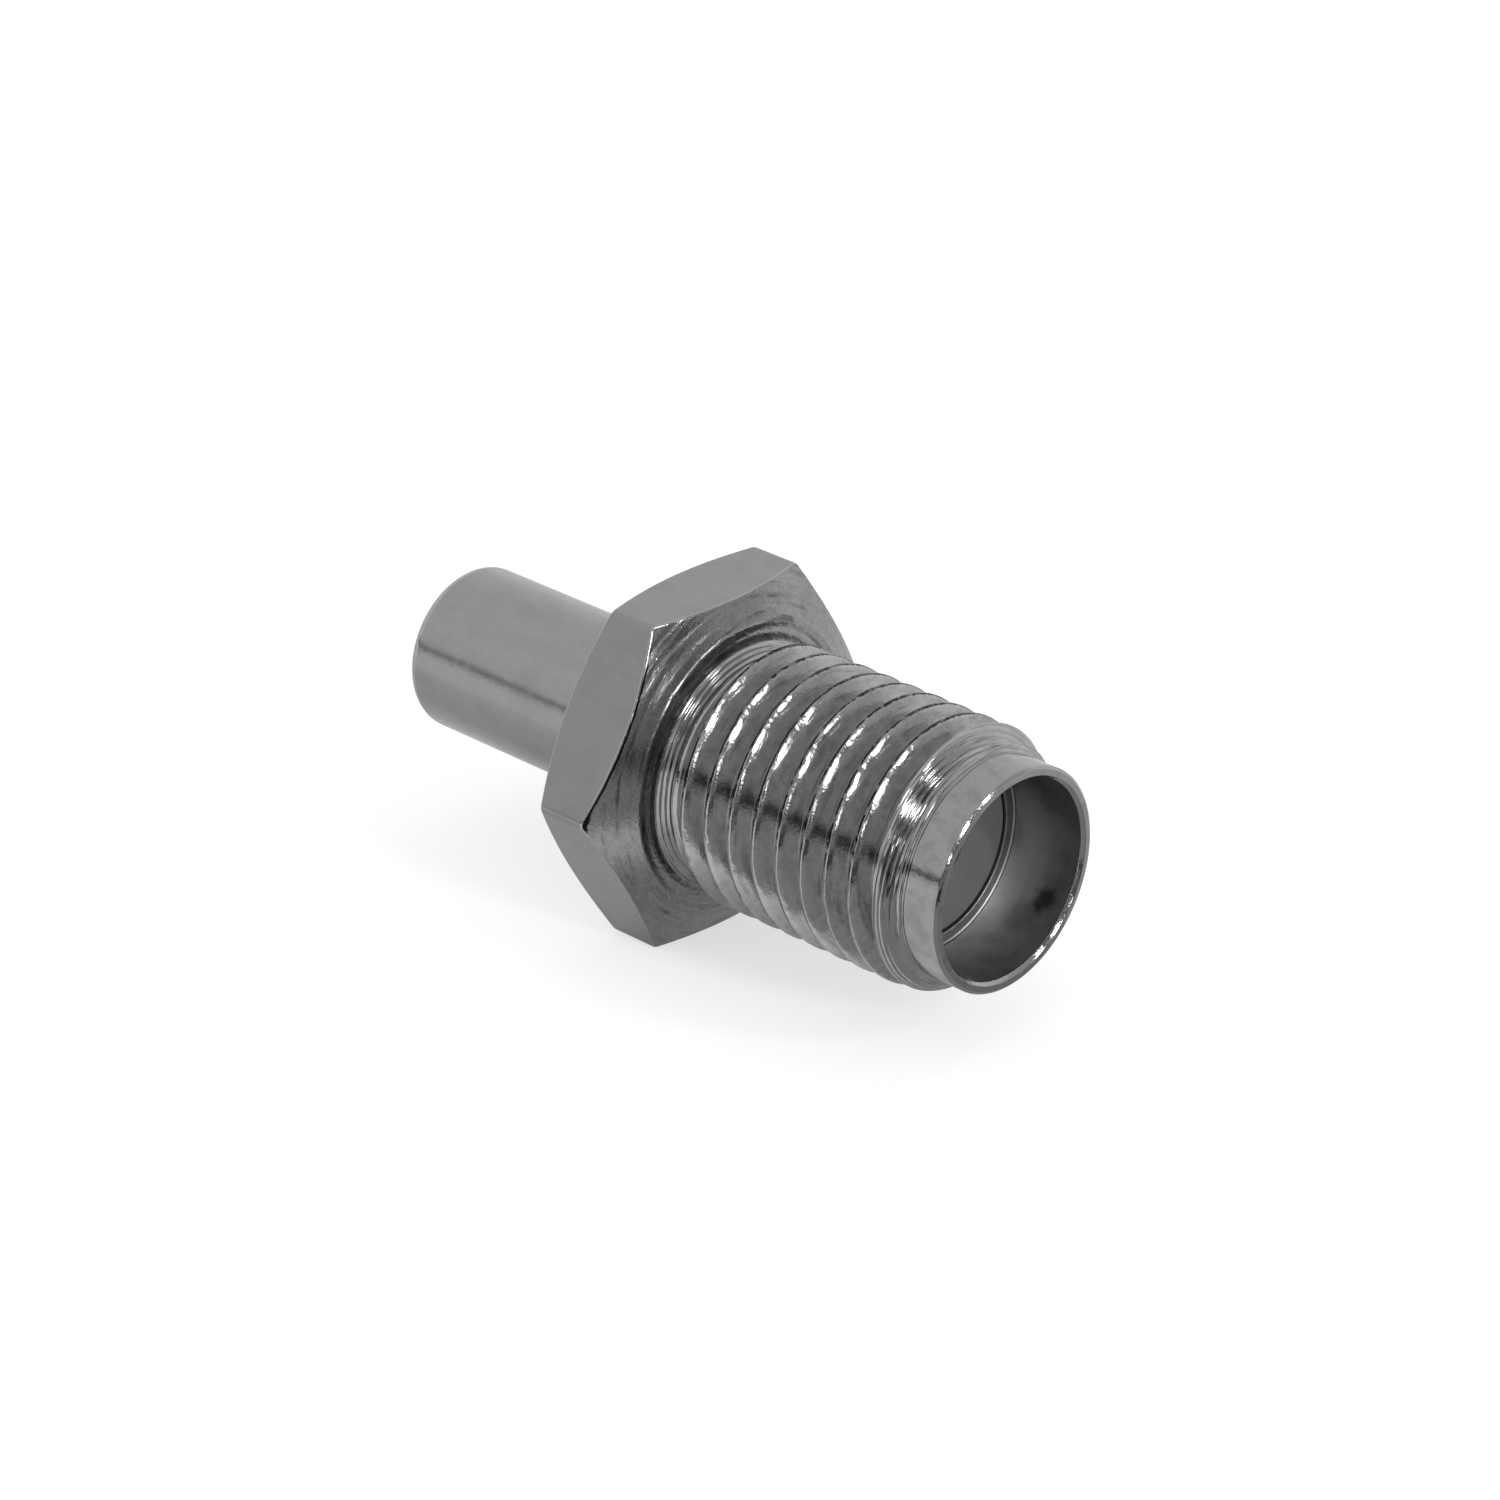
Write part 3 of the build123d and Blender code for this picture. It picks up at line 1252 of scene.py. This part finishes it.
@dataclass
class OuterBody:
    """The outer body of the threaded jack, turned from hexagon bar in one piece.

    Lengths are millimetres and angles radians.
    """

    hex_back: float
    mouth: float
    across_flats: float
    barrel_length: float = 7.99
    thread_radius: float = THREAD_RADIUS
    thread_depth: float = 0.45
    root_radius: float = ROOT_RADIUS
    relief_width: float = 0.7
    nose_radius: float = 2.635
    nose_length: float = 1.04
    shoulder_length: float = 0.58
    root_blend: float = 0.16
    corner_rise: float = 0.3
    corner_run: float = 0.235
    lip_run: float = 0.05
    lip_fall: float = 0.064
    crevice: float = 0.035
    seat_drop: float = 0.03
    face_radius: float = 3.47
    front_chamfer: float = math.radians(26.9)
    back_chamfer: float = math.radians(24.5)
    bar_corner: float = 0.2
    jack_radius: float = 2.35
    lead_in: float = 0.08
    dielectric_radius: float = 2.05
    dielectric_step: float = 0.6
    rear_bore_radius: float = 2.4

    @property
    def hex_front(self) -> float:
        """Station of the hexagon's front face."""
        return self.mouth - self.barrel_length

    @property
    def relief_radius(self) -> float:
        """Radius of the relief behind the thread."""
        return self.thread_radius - self.thread_depth

    @property
    def relief_end(self) -> float:
        """Station where the relief starts to rise to the thread."""
        return self.hex_front + self.relief_width - self.thread_depth

    @property
    def nose_root(self) -> float:
        """Station on the nose past the round at its root, where the threaded band ends."""
        return self.mouth - self.nose_length + self.root_blend

    def bar_radius(self, angles: np.ndarray) -> np.ndarray:
        """Radius of the hexagon bar, with its long edges rounded.

        Args:
            angles: angles about the axis.

        Returns:
            The radius at each angle.
        """
        half = self.across_flats / 2
        sector = math.pi / 3
        off = np.abs((angles + sector / 2) % sector - sector / 2)
        flat = half / np.cos(sector / 2 - off)
        centre = (half - self.bar_corner) / math.cos(sector / 2)
        inside = np.maximum(self.bar_corner**2 - (centre * np.sin(off)) ** 2, 0)
        rounded = centre * np.cos(off) + np.sqrt(inside)
        ends = math.atan2(self.bar_corner * 0.5, centre + self.bar_corner * math.cos(sector / 2))
        return np.where(off < ends, rounded, flat)

    def section(self, angles: np.ndarray) -> Section:
        """The half section without the threaded band, which the roller adds.

        Args:
            angles: the columns' angles about the axis.

        Returns:
            The section, open between the nose and the relief.
        """
        hex_front = self.hex_front
        relief = self.relief_radius
        seat_edge = self.jack_radius - self.crevice
        bar = self.bar_radius(angles)
        front_edge = hex_front - (bar - self.face_radius) * math.tan(self.front_chamfer)
        back_edge = self.hex_back + (bar - self.face_radius) * math.tan(self.back_chamfer)
        corners = [
            Corner(self.nose_root, self.nose_radius, Zone.PLAIN),
            Corner(self.mouth - self.lip_run, self.nose_radius, Zone.EDGE, BROKEN),
            Corner(self.mouth, self.nose_radius - self.lip_fall, Zone.PLAIN, BROKEN),
            Corner(self.mouth, self.jack_radius + self.lead_in, Zone.EDGE, EASED),
            Corner(self.mouth - self.lead_in, self.jack_radius, Zone.BORE, SOFT),
            # Painted shade on the narrow step face at the bottom of the bore.
            Corner(0.0, self.jack_radius, Zone.SHADED_CREVICE),
            Corner(0.0, seat_edge, Zone.SEAT),
            Corner(-self.seat_drop, seat_edge - self.seat_drop, Zone.SEAT, BROKEN),
            Corner(-self.seat_drop, self.dielectric_radius, Zone.BORE, BROKEN),
            Corner(-self.dielectric_step, self.dielectric_radius, Zone.BORE),
            Corner(-self.dielectric_step, self.rear_bore_radius, Zone.BORE),
            Corner(self.hex_back, self.rear_bore_radius, Zone.FACED, BROKEN),
            Corner(self.hex_back, self.face_radius, Zone.FACED, WORN),
            # The hexagon's edges take the worn edge's finish, with its painted highlight.
            Corner(back_edge, bar, Zone.BAR, WORN, True),
            Corner(front_edge, bar, Zone.FACED, WORN, True),
            Corner(hex_front, self.face_radius, Zone.FACED, BLUNT),
            Corner(hex_front, relief + self.corner_rise, Zone.SHOULDER, BROKEN),
            Corner(hex_front + self.corner_run, relief, Zone.SHOULDER, BROKEN),
            Corner(self.relief_end, relief, Zone.SHOULDER),
        ]
        return Section(corners, angles, closed=False)

    def build(self, finishes: Finishes) -> bpy.types.Object:
        """Builds and dresses the piece.

        Args:
            finishes: where its materials come from.

        Returns:
            The piece.
        """
        roller = ThreadRoller(
            start=self.relief_end,
            end=self.nose_root,
            shoulder_start=self.mouth - self.nose_length - self.shoulder_length,
            shoulder_length=self.shoulder_length,
            crest=self.thread_radius,
            root=self.root_radius,
            relief=self.relief_radius,
            nose=self.nose_radius,
        )
        blank = self.section(roller.column_angles()).mesh("outer_body_blank", finishes)
        mesh = roller.roll(blank, finishes)
        mesh.name = "outer_body"
        return place_mesh("outer_body", mesh, "hex_body")


@dataclass
class RearBarrel:
    """The smooth barrel behind the hexagon, with the push-on jack in its end.

    Lengths are millimetres and angles radians.
    """

    tube_end: float
    hex_back: float
    spigot_face: float
    tube_radius: float = 2.0
    edge_round: float = 0.27
    spigot_radius: float = 2.39
    spigot_chamfer: float = 0.12
    jack_radius: float = 1.21
    jack_depth: float = 2.6
    groove_radius: float = 1.33
    groove_width: float = 0.4
    groove_setback: float = 0.8
    lead_in: float = 0.14
    lead_in_angle: float = math.radians(30)
    line_radius: float = 0.9
    flange_radius: float = 1.55
    flange_thickness: float = 0.7
    columns: int = 192

    def build(self, finishes: Finishes) -> bpy.types.Object:
        """Builds and dresses the piece.

        Args:
            finishes: where its materials come from.

        Returns:
            The piece.
        """
        lead_run = self.lead_in / math.tan(self.lead_in_angle)
        groove_start = self.tube_end + self.groove_setback
        groove_end = groove_start + self.groove_width
        slope = self.groove_radius - self.jack_radius
        flange = self.spigot_face - self.flange_thickness
        bottom = self.tube_end + self.jack_depth
        corners = [
            Corner(self.tube_end, self.jack_radius + self.lead_in, Zone.EDGE, EASED),
            Corner(self.tube_end, self.tube_radius, Zone.TUBE, self.edge_round),
            Corner(self.hex_back, self.tube_radius, Zone.FACED, SOFT),
            Corner(self.hex_back, self.spigot_radius, Zone.PLAIN, BROKEN),
            Corner(self.spigot_face - self.spigot_chamfer, self.spigot_radius),
            Corner(self.spigot_face, self.spigot_radius - self.spigot_chamfer),
            Corner(self.spigot_face, self.flange_radius, Zone.BORE),
            Corner(flange, self.flange_radius, Zone.BORE),
            Corner(flange, self.line_radius, Zone.BORE),
            Corner(bottom, self.line_radius, Zone.FACED, BROKEN),
            Corner(bottom, self.jack_radius, Zone.BORE, EASED),
            Corner(groove_end, self.jack_radius, Zone.BORE, BROKEN),
            Corner(groove_end - slope, self.groove_radius, Zone.BORE, BROKEN),
            Corner(groove_start + slope, self.groove_radius, Zone.BORE, BROKEN),
            Corner(groove_start, self.jack_radius, Zone.BORE, BROKEN),
            Corner(self.tube_end + lead_run, self.jack_radius, Zone.EDGE, EASED),
        ]
        section = Section(corners, even_columns(self.columns), steps=6)
        mesh = section.mesh("rear_barrel_shell", finishes)
        return place_mesh("rear_barrel_shell", mesh, "rear_barrel")


@dataclass
class Insulators:
    """The two beads that hold the centre contact, in millimetres."""

    spigot_face: float
    rear_plane: float
    front_recess: float = 0.1
    wide_radius: float = 2.38
    narrow_radius: float = 2.03
    step: float = 0.6
    hole_radius: float = 0.645
    pocket_radius: float = 0.96
    pocket_depth: float = 0.5
    rear_hole_radius: float = 0.29
    rear_radius: float = 0.88
    flange_radius: float = 1.53
    flange_thickness: float = 0.7
    columns: int = 144

    def front(self) -> list[Corner]:
        """Half section of the front bead.

        Returns:
            Its corners.
        """
        pocket = self.spigot_face + self.pocket_depth
        return [
            Corner(pocket, self.hole_radius, Zone.BEAD),
            Corner(pocket, self.pocket_radius, Zone.BEAD),
            Corner(self.spigot_face, self.pocket_radius, Zone.BEAD),
            Corner(self.spigot_face, self.wide_radius, Zone.BEAD),
            Corner(-self.step, self.wide_radius, Zone.BEAD),
            Corner(-self.step, self.narrow_radius, Zone.BEAD),
            Corner(-self.front_recess, self.narrow_radius, Zone.BEAD, SOFT),
            Corner(-self.front_recess, self.hole_radius, Zone.BEAD, EASED),
        ]

    def rear(self) -> list[Corner]:
        """Half section of the rear bead.

        Returns:
            Its corners.
        """
        flange = self.spigot_face - self.flange_thickness
        return [
            Corner(self.rear_plane, self.rear_hole_radius, Zone.BEAD, BROKEN),
            Corner(self.rear_plane, self.rear_radius, Zone.BEAD, EASED),
            Corner(flange, self.rear_radius, Zone.BEAD),
            Corner(flange, self.flange_radius, Zone.BEAD),
            Corner(self.spigot_face, self.flange_radius, Zone.BEAD),
            Corner(self.spigot_face, self.rear_hole_radius, Zone.BEAD),
        ]

    def build(self, finishes: Finishes) -> None:
        """Builds and dresses both beads.

        Args:
            finishes: where their materials come from.
        """
        for name, corners, node in (
            ("front_bead", self.front(), "front_insulator"),
            ("rear_bead", self.rear(), "rear_insulator"),
        ):
            mesh = Section(corners, even_columns(self.columns)).mesh(name, finishes)
            place_mesh(name, mesh, node)


@dataclass
class CentreContact:
    """The double-ended contact, shown as the solid itself with its finish."""

    node: bpy.types.Object

    def dress(self, finishes: Finishes) -> None:
        """Gives the solid its finish.

        Args:
            finishes: where it comes from.
        """
        self.node.data.materials.clear()
        self.node.data.materials.append(finishes.get(Zone.GILT))
        LOG.info("centre contact: %d faces", len(self.node.data.polygons))


# Studio


@dataclass(frozen=True)
class Lamp:
    """A flat lamp that is aimed at the part.

    Attributes:
        name: its name.
        way: direction from the part to it.
        length: how long it looks from the part, in degrees.
        height: how high it looks, likewise.
        radiance: how bright it looks, where 1 is the room's white.
    """

    name: str
    way: tuple[float, float, float]
    length: float
    height: float
    radiance: float


@dataclass
class Studio:
    """Floor, surroundings and lamps. Places on the floor are in millimetres.

    Attributes:
        floor_z: height of the floor, in millimetres.
        floor_size: its side, in metres.
        floor_tone: how much of the room's light it gives back.
        floor_glow: how much the floor shines for the camera, so that its shadow stays faint.
        mirrored_glow: how much it shines in the metal.
        open_floor: how bright the open floor on the -Y side looks in the metal.
        open_from: distances to the -Y side between which the floor gets open.
        mouth_floor: slope and start of a line on the floor, past which it is open by the mouth.
        mouth_edge: how far past that line the open floor starts and is bright.
        axis_edge: distances to the -Y side between which the floor under the axis ends.
        front_floor: how bright the floor in front of the mouth looks in the metal, over its least.
        far_floor: how bright it looks farther off, likewise.
        least_floor: how bright the dark line between the two looks.
        floor_line: where that line starts and ends, from the station front_from.
        line_blur: where each of its edges is past, as a multiple of where it starts.
        front_from: station from which the floor in front is measured.
        front_way: direction in which it lies from there.
        front_edge: cosines of the angle from that way between which it starts.
        lit_in: stations between which a strip beside the thread starts, which stays as lit as the rest.
        lit_out: stations between which that strip ends.
        sky: how bright the room is.
        broad: how far the right side of the room falls off.
        broad_edge: cosines of the angle from its middle between which it falls off.
        dark: how bright the unlit side of the room is, in front of the mouth.
        dark_way: the middle of that side.
        dark_edge: cosines of the angle from its middle between which it gets dark.
        seam_height: elevation of a thin dark seam low on the -Y side.
        seam_thins: parts of the way to -X between which it gets thin.
        seam_rise: how much higher its thick end lies.
        seam_core: half its height where it is darkest, at its thick end and its thin end.
        seam_soft: half its height with its soft edge, likewise.
        seam_dark: how dark it is.
        seam_from: parts of the way to -X between which it comes up.
        seam_side: parts of the way to -Y between which it comes up.
        lamps: the lamps.
        lamp_distance: how far away they stand, in metres.
    """

    floor_z: float
    floor_size: float = 4.0
    floor_tone: float = 0.5
    floor_glow: float = 0.62
    mirrored_glow: float = 0.36
    open_floor: float = 1.12
    open_from: tuple[float, float] = (6.0, 14.0)
    mouth_floor: tuple[float, float] = (1.6, -2.2)
    mouth_edge: tuple[float, float] = (1.0, 6.0)
    axis_edge: tuple[float, float] = (0.0, 2.0)
    front_floor: float = 0.36
    far_floor: float = 0.3
    least_floor: float = 0.06
    floor_line: tuple[float, float] = (24.0, 48.0)
    line_blur: tuple[float, float] = (1.2, 1.3)
    front_from: float = -10.0
    front_way: tuple[float, float] = (0.98, -0.2)
    front_edge: tuple[float, float] = (0.78, 0.92)
    lit_in: tuple[float, float] = (-4.4, -2.6)
    lit_out: tuple[float, float] = (-0.2, 0.8)
    sky: float = 1.0
    broad: float = 0.4
    broad_edge: tuple[float, float] = (0.3, 0.62)
    dark: float = 0.15
    dark_way: tuple[float, float, float] = (0.93, -0.13, 0.3)
    dark_edge: tuple[float, float] = (0.76, 0.88)
    seam_height: float = 0.1
    seam_thins: tuple[float, float] = (0.42, 0.56)
    seam_rise: float = 0.045
    seam_core: tuple[float, float] = (0.06, 0.015)
    seam_soft: tuple[float, float] = (0.13, 0.055)
    seam_dark: float = 0.97
    seam_from: tuple[float, float] = (-0.5, -0.25)
    seam_side: tuple[float, float] = (0.3, 0.6)
    lamps: tuple[Lamp, ...] = (
        Lamp("spot_high", (0.802, 0.236, 0.548), 4.5, 17.0, 20.0),
        Lamp("spot_middle", (0.897, -0.107, 0.429), 7.2, 21.0, 20.0),
        Lamp("spot_low", (0.92, -0.344, 0.186), 3.0, 10.0, 9.0),
        Lamp("strip", (0.905, -0.08, 0.4), 46.0, 3.0, 0.8),
    )
    lamp_distance: float = 0.4

    def lay_floor(self) -> bpy.types.Object:
        """Makes the pale floor that keeps the part's shadow.

        Returns:
            The floor.
        """
        half = self.floor_size / 2
        height = self.floor_z * METRES
        mesh = bpy.data.meshes.new("floor")
        corners = [(-half, -half, height), (half, -half, height), (half, half, height), (-half, half, height)]
        mesh.from_pydata(corners, [], [(0, 1, 2, 3)])
        material, graph, shader = start_material("pale_floor")
        grey = (self.floor_tone, self.floor_tone, self.floor_tone, 1.0)
        graph.feed(shader, {"Base Color": grey, "Roughness": 1.0, "Specular IOR Level": 0.0})
        path = graph.node("ShaderNodeLightPath")
        geometry = graph.node("ShaderNodeNewGeometry")
        place = graph.scale(graph.out(geometry, "Position"), 1 / METRES)
        glossy = graph.out(path, "Is Glossy Ray")
        seen = graph.out(path, "Is Camera Ray").at_least(graph.out(path, "Is Transmission Ray"))
        glow = graph.white(seen * self.floor_glow + glossy * self.mirrored_floor(graph, place))
        lit = graph.node("ShaderNodeAddShader", inputs={0: graph.out(shader), 1: glow})
        front, level = self.front_shade(graph, place)
        inputs = {0: glossy * front, 1: graph.out(lit), 2: graph.white(level)}
        shaded = graph.out(graph.node("ShaderNodeMixShader", inputs=inputs))
        clear = graph.out(graph.node("ShaderNodeBsdfTransparent"))
        below = graph.out(geometry, "Backfacing")
        both = graph.node("ShaderNodeMixShader", inputs={0: below, 1: shaded, 2: clear})
        graph.feed(material.node_tree.nodes["Material Output"], {"Surface": graph.out(both)})
        mesh.materials.append(material)
        floor = bpy.data.objects.new("floor", mesh)
        bpy.context.scene.collection.objects.link(floor)
        return floor

    def mirrored_floor(self, graph: Graph, place: Signal) -> Signal:
        """How much the floor shines in the metal.

        Args:
            graph: the floor's material.
            place: the point of the floor, in millimetres.

        Returns:
            The strength of its glow.
        """
        along, aside, _ = graph.split(place)
        slope, start = self.mouth_floor
        near_side = 0.0 - aside
        by_mouth = (slope * (along - start) - aside).step(*self.mouth_edge)
        opened = near_side.step(*self.open_from).at_least(by_mouth * near_side.step(*self.axis_edge))
        return self.mirrored_glow + (self.open_floor - self.floor_tone - self.mirrored_glow) * opened

    def front_shade(self, graph: Graph, place: Signal) -> tuple[Signal, Signal]:
        """How the floor looks in the metal in front of the mouth, where the room is unlit.

        Args:
            graph: the floor's material.
            place: the point of the floor, in millimetres.

        Returns:
            Where that part of the floor is, and how bright it looks there.
        """
        x, y, _ = graph.split(place)
        lit = (0.0 - y).step(*self.axis_edge) * x.step(*self.lit_in) * (1.0 - x.step(*self.lit_out))
        x = x - self.front_from
        distance = (x * x + y * y).root()
        ahead = (x * self.front_way[0] + y * self.front_way[1]) / distance.at_least(1.0)
        past_start, past_end = (
            distance.step(edge, edge * blur) for edge, blur in zip(self.floor_line, self.line_blur)
        )
        level = self.front_floor * (1.0 - past_start) + self.far_floor * past_end + self.least_floor
        return ahead.step(*self.front_edge) * (1.0 - lit), level

    def hang_room(self) -> None:
        """Makes the pale room round the part, unlit in front of the mouth and with a seam low down."""
        world = bpy.data.worlds.new("room")
        bpy.context.scene.world = world
        world.use_nodes = True
        graph = Graph(world.node_tree)
        way = graph.out(graph.node("ShaderNodeTexCoord"), "Generated")
        way = graph.out(graph.node("ShaderNodeVectorMath", {"operation": "NORMALIZE"}, {0: way}))
        x, y, z = graph.split(way)
        unlit = graph.dot(way, Vector(self.dark_way).normalized())
        room = self.sky * (1.0 - self.broad * unlit.step(*self.broad_edge))
        room = room + (self.dark - room) * unlit.step(*self.dark_edge)
        thin = (0.0 - x).step(*self.seam_thins)
        core, soft = (thick + (end - thick) * thin for thick, end in (self.seam_core, self.seam_soft))
        off = graph.math("ABSOLUTE", z - self.seam_height - self.seam_rise * (1.0 - thin))
        beside = (0.0 - x).step(*self.seam_from) * (0.0 - y).step(*self.seam_side)
        room = room * (1.0 - self.seam_dark * (1.0 - off.step(core, soft)) * beside)
        camera = graph.out(graph.node("ShaderNodeLightPath"), "Is Camera Ray")
        strength = camera + (1.0 - camera) * room
        background = world.node_tree.nodes["Background"]
        graph.feed(background, {"Color": (1.0, 1.0, 1.0, 1.0), "Strength": strength})

    def set_lamps(self) -> None:
        """Sets the small lamps that the crests and the shoulder catch."""
        along = (Vector(self.lamps[0].way) - Vector(self.lamps[2].way)).normalized()
        for lamp in self.lamps:
            way = Vector(lamp.way).normalized()
            data = bpy.data.lights.new(lamp.name, "AREA")
            data.shape = "RECTANGLE"
            data.size = 2 * self.lamp_distance * math.tan(math.radians(lamp.length / 2))
            data.size_y = 2 * self.lamp_distance * math.tan(math.radians(lamp.height / 2))
            data.energy = lamp.radiance * math.pi * data.size * data.size_y
            side = (along - way * along.dot(way)).normalized()
            turned = Matrix((side, way.cross(side), way)).transposed().to_4x4()
            piece = bpy.data.objects.new(lamp.name, data)
            piece.matrix_world = Matrix.Translation(way * self.lamp_distance) @ turned
            piece.visible_camera = False
            bpy.context.scene.collection.objects.link(piece)

    def build(self) -> None:
        """Builds the studio."""
        self.lay_floor()
        self.hang_room()
        self.set_lamps()


@dataclass
class PhotographersCamera:
    """The camera at the photograph's viewing angle.

    Attributes:
        target: the point that it is aimed by, in millimetres.
        seen_at: pixel of the frame at which that point lies.
        azimuth: angle of the camera about +Z from +X, in degrees.
        elevation: its angle above the horizon.
        roll: its turn about its own line of sight.
        distance: from the camera to the target, in millimetres.
        focal_pixels: focal length in pixels.
        frame_pixels: side of the frame.
        sensor: width of the sensor, in millimetres.
        clip: nearest and farthest distance that is drawn, in metres.
    """

    target: tuple[float, float, float] = (-3.067, 0.0, 0.0)
    seen_at: tuple[float, float] = (843.09, 806.85)
    azimuth: float = -47.37
    elevation: float = 27.44
    roll: float = 0.31
    distance: float = 106.98
    focal_pixels: float = 4794.0
    frame_pixels: float = 1500.0
    sensor: float = 36.0
    clip: tuple[float, float] = (0.001, 50.0)

    def build(self) -> bpy.types.Object:
        """Makes the camera and hands it to the scene.

        Returns:
            The camera.
        """
        turn, lift, roll = (math.radians(angle) for angle in (self.azimuth, self.elevation, self.roll))
        back = Vector((math.cos(lift) * math.cos(turn), math.cos(lift) * math.sin(turn), math.sin(lift)))
        level = (-back).cross(Vector((0, 0, 1))).normalized()
        above = level.cross(-back)
        right = level * math.cos(roll) + above * math.sin(roll)
        up = above * math.cos(roll) - level * math.sin(roll)
        aside = (self.seen_at[0] - self.frame_pixels / 2) / self.focal_pixels
        below = (self.seen_at[1] - self.frame_pixels / 2) / self.focal_pixels
        place = Vector(self.target) + self.distance * (back - right * aside + up * below)
        data = bpy.data.cameras.new("camera")
        data.sensor_width = self.sensor
        data.lens = self.focal_pixels / self.frame_pixels * self.sensor
        data.clip_start, data.clip_end = self.clip
        camera = bpy.data.objects.new("camera", data)
        axes = Matrix((right, up, back)).transposed().to_4x4()
        camera.matrix_world = Matrix.Translation(place * METRES) @ axes
        bpy.context.scene.collection.objects.link(camera)
        bpy.context.scene.camera = camera
        return camera


def clear_scene() -> None:
    """Removes what a new file holds."""
    for thing in list(bpy.data.objects):
        bpy.data.objects.remove(thing)


def low_high(node: str) -> tuple[Vector, Vector]:
    """Lowest and highest corner of a node, in millimetres."""
    low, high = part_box(node)
    return low / METRES, high / METRES


def main() -> None:
    """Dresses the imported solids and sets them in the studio."""
    logging.basicConfig(level=logging.INFO, format="%(name)s %(message)s")
    clear_scene()
    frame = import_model()
    finishes = Finishes()
    body_low, body_high = low_high("hex_body")
    tube_low, tube_high = low_high("rear_barrel")
    bead_low, _ = low_high("rear_insulator")
    OuterBody(hex_back=body_low.x, mouth=body_high.x, across_flats=body_high.z - body_low.z).build(finishes)
    RearBarrel(tube_end=tube_low.x, hex_back=body_low.x, spigot_face=tube_high.x).build(finishes)
    Insulators(spigot_face=tube_high.x, rear_plane=bead_low.x).build(finishes)
    CentreContact(frame["nodes"]["centre_contact"]).dress(finishes)
    Studio(floor_z=body_low.z).build()
    PhotographersCamera().build()
    bpy.context.scene.view_settings.view_transform = "Standard"


if __name__ == "__main__":
    main()
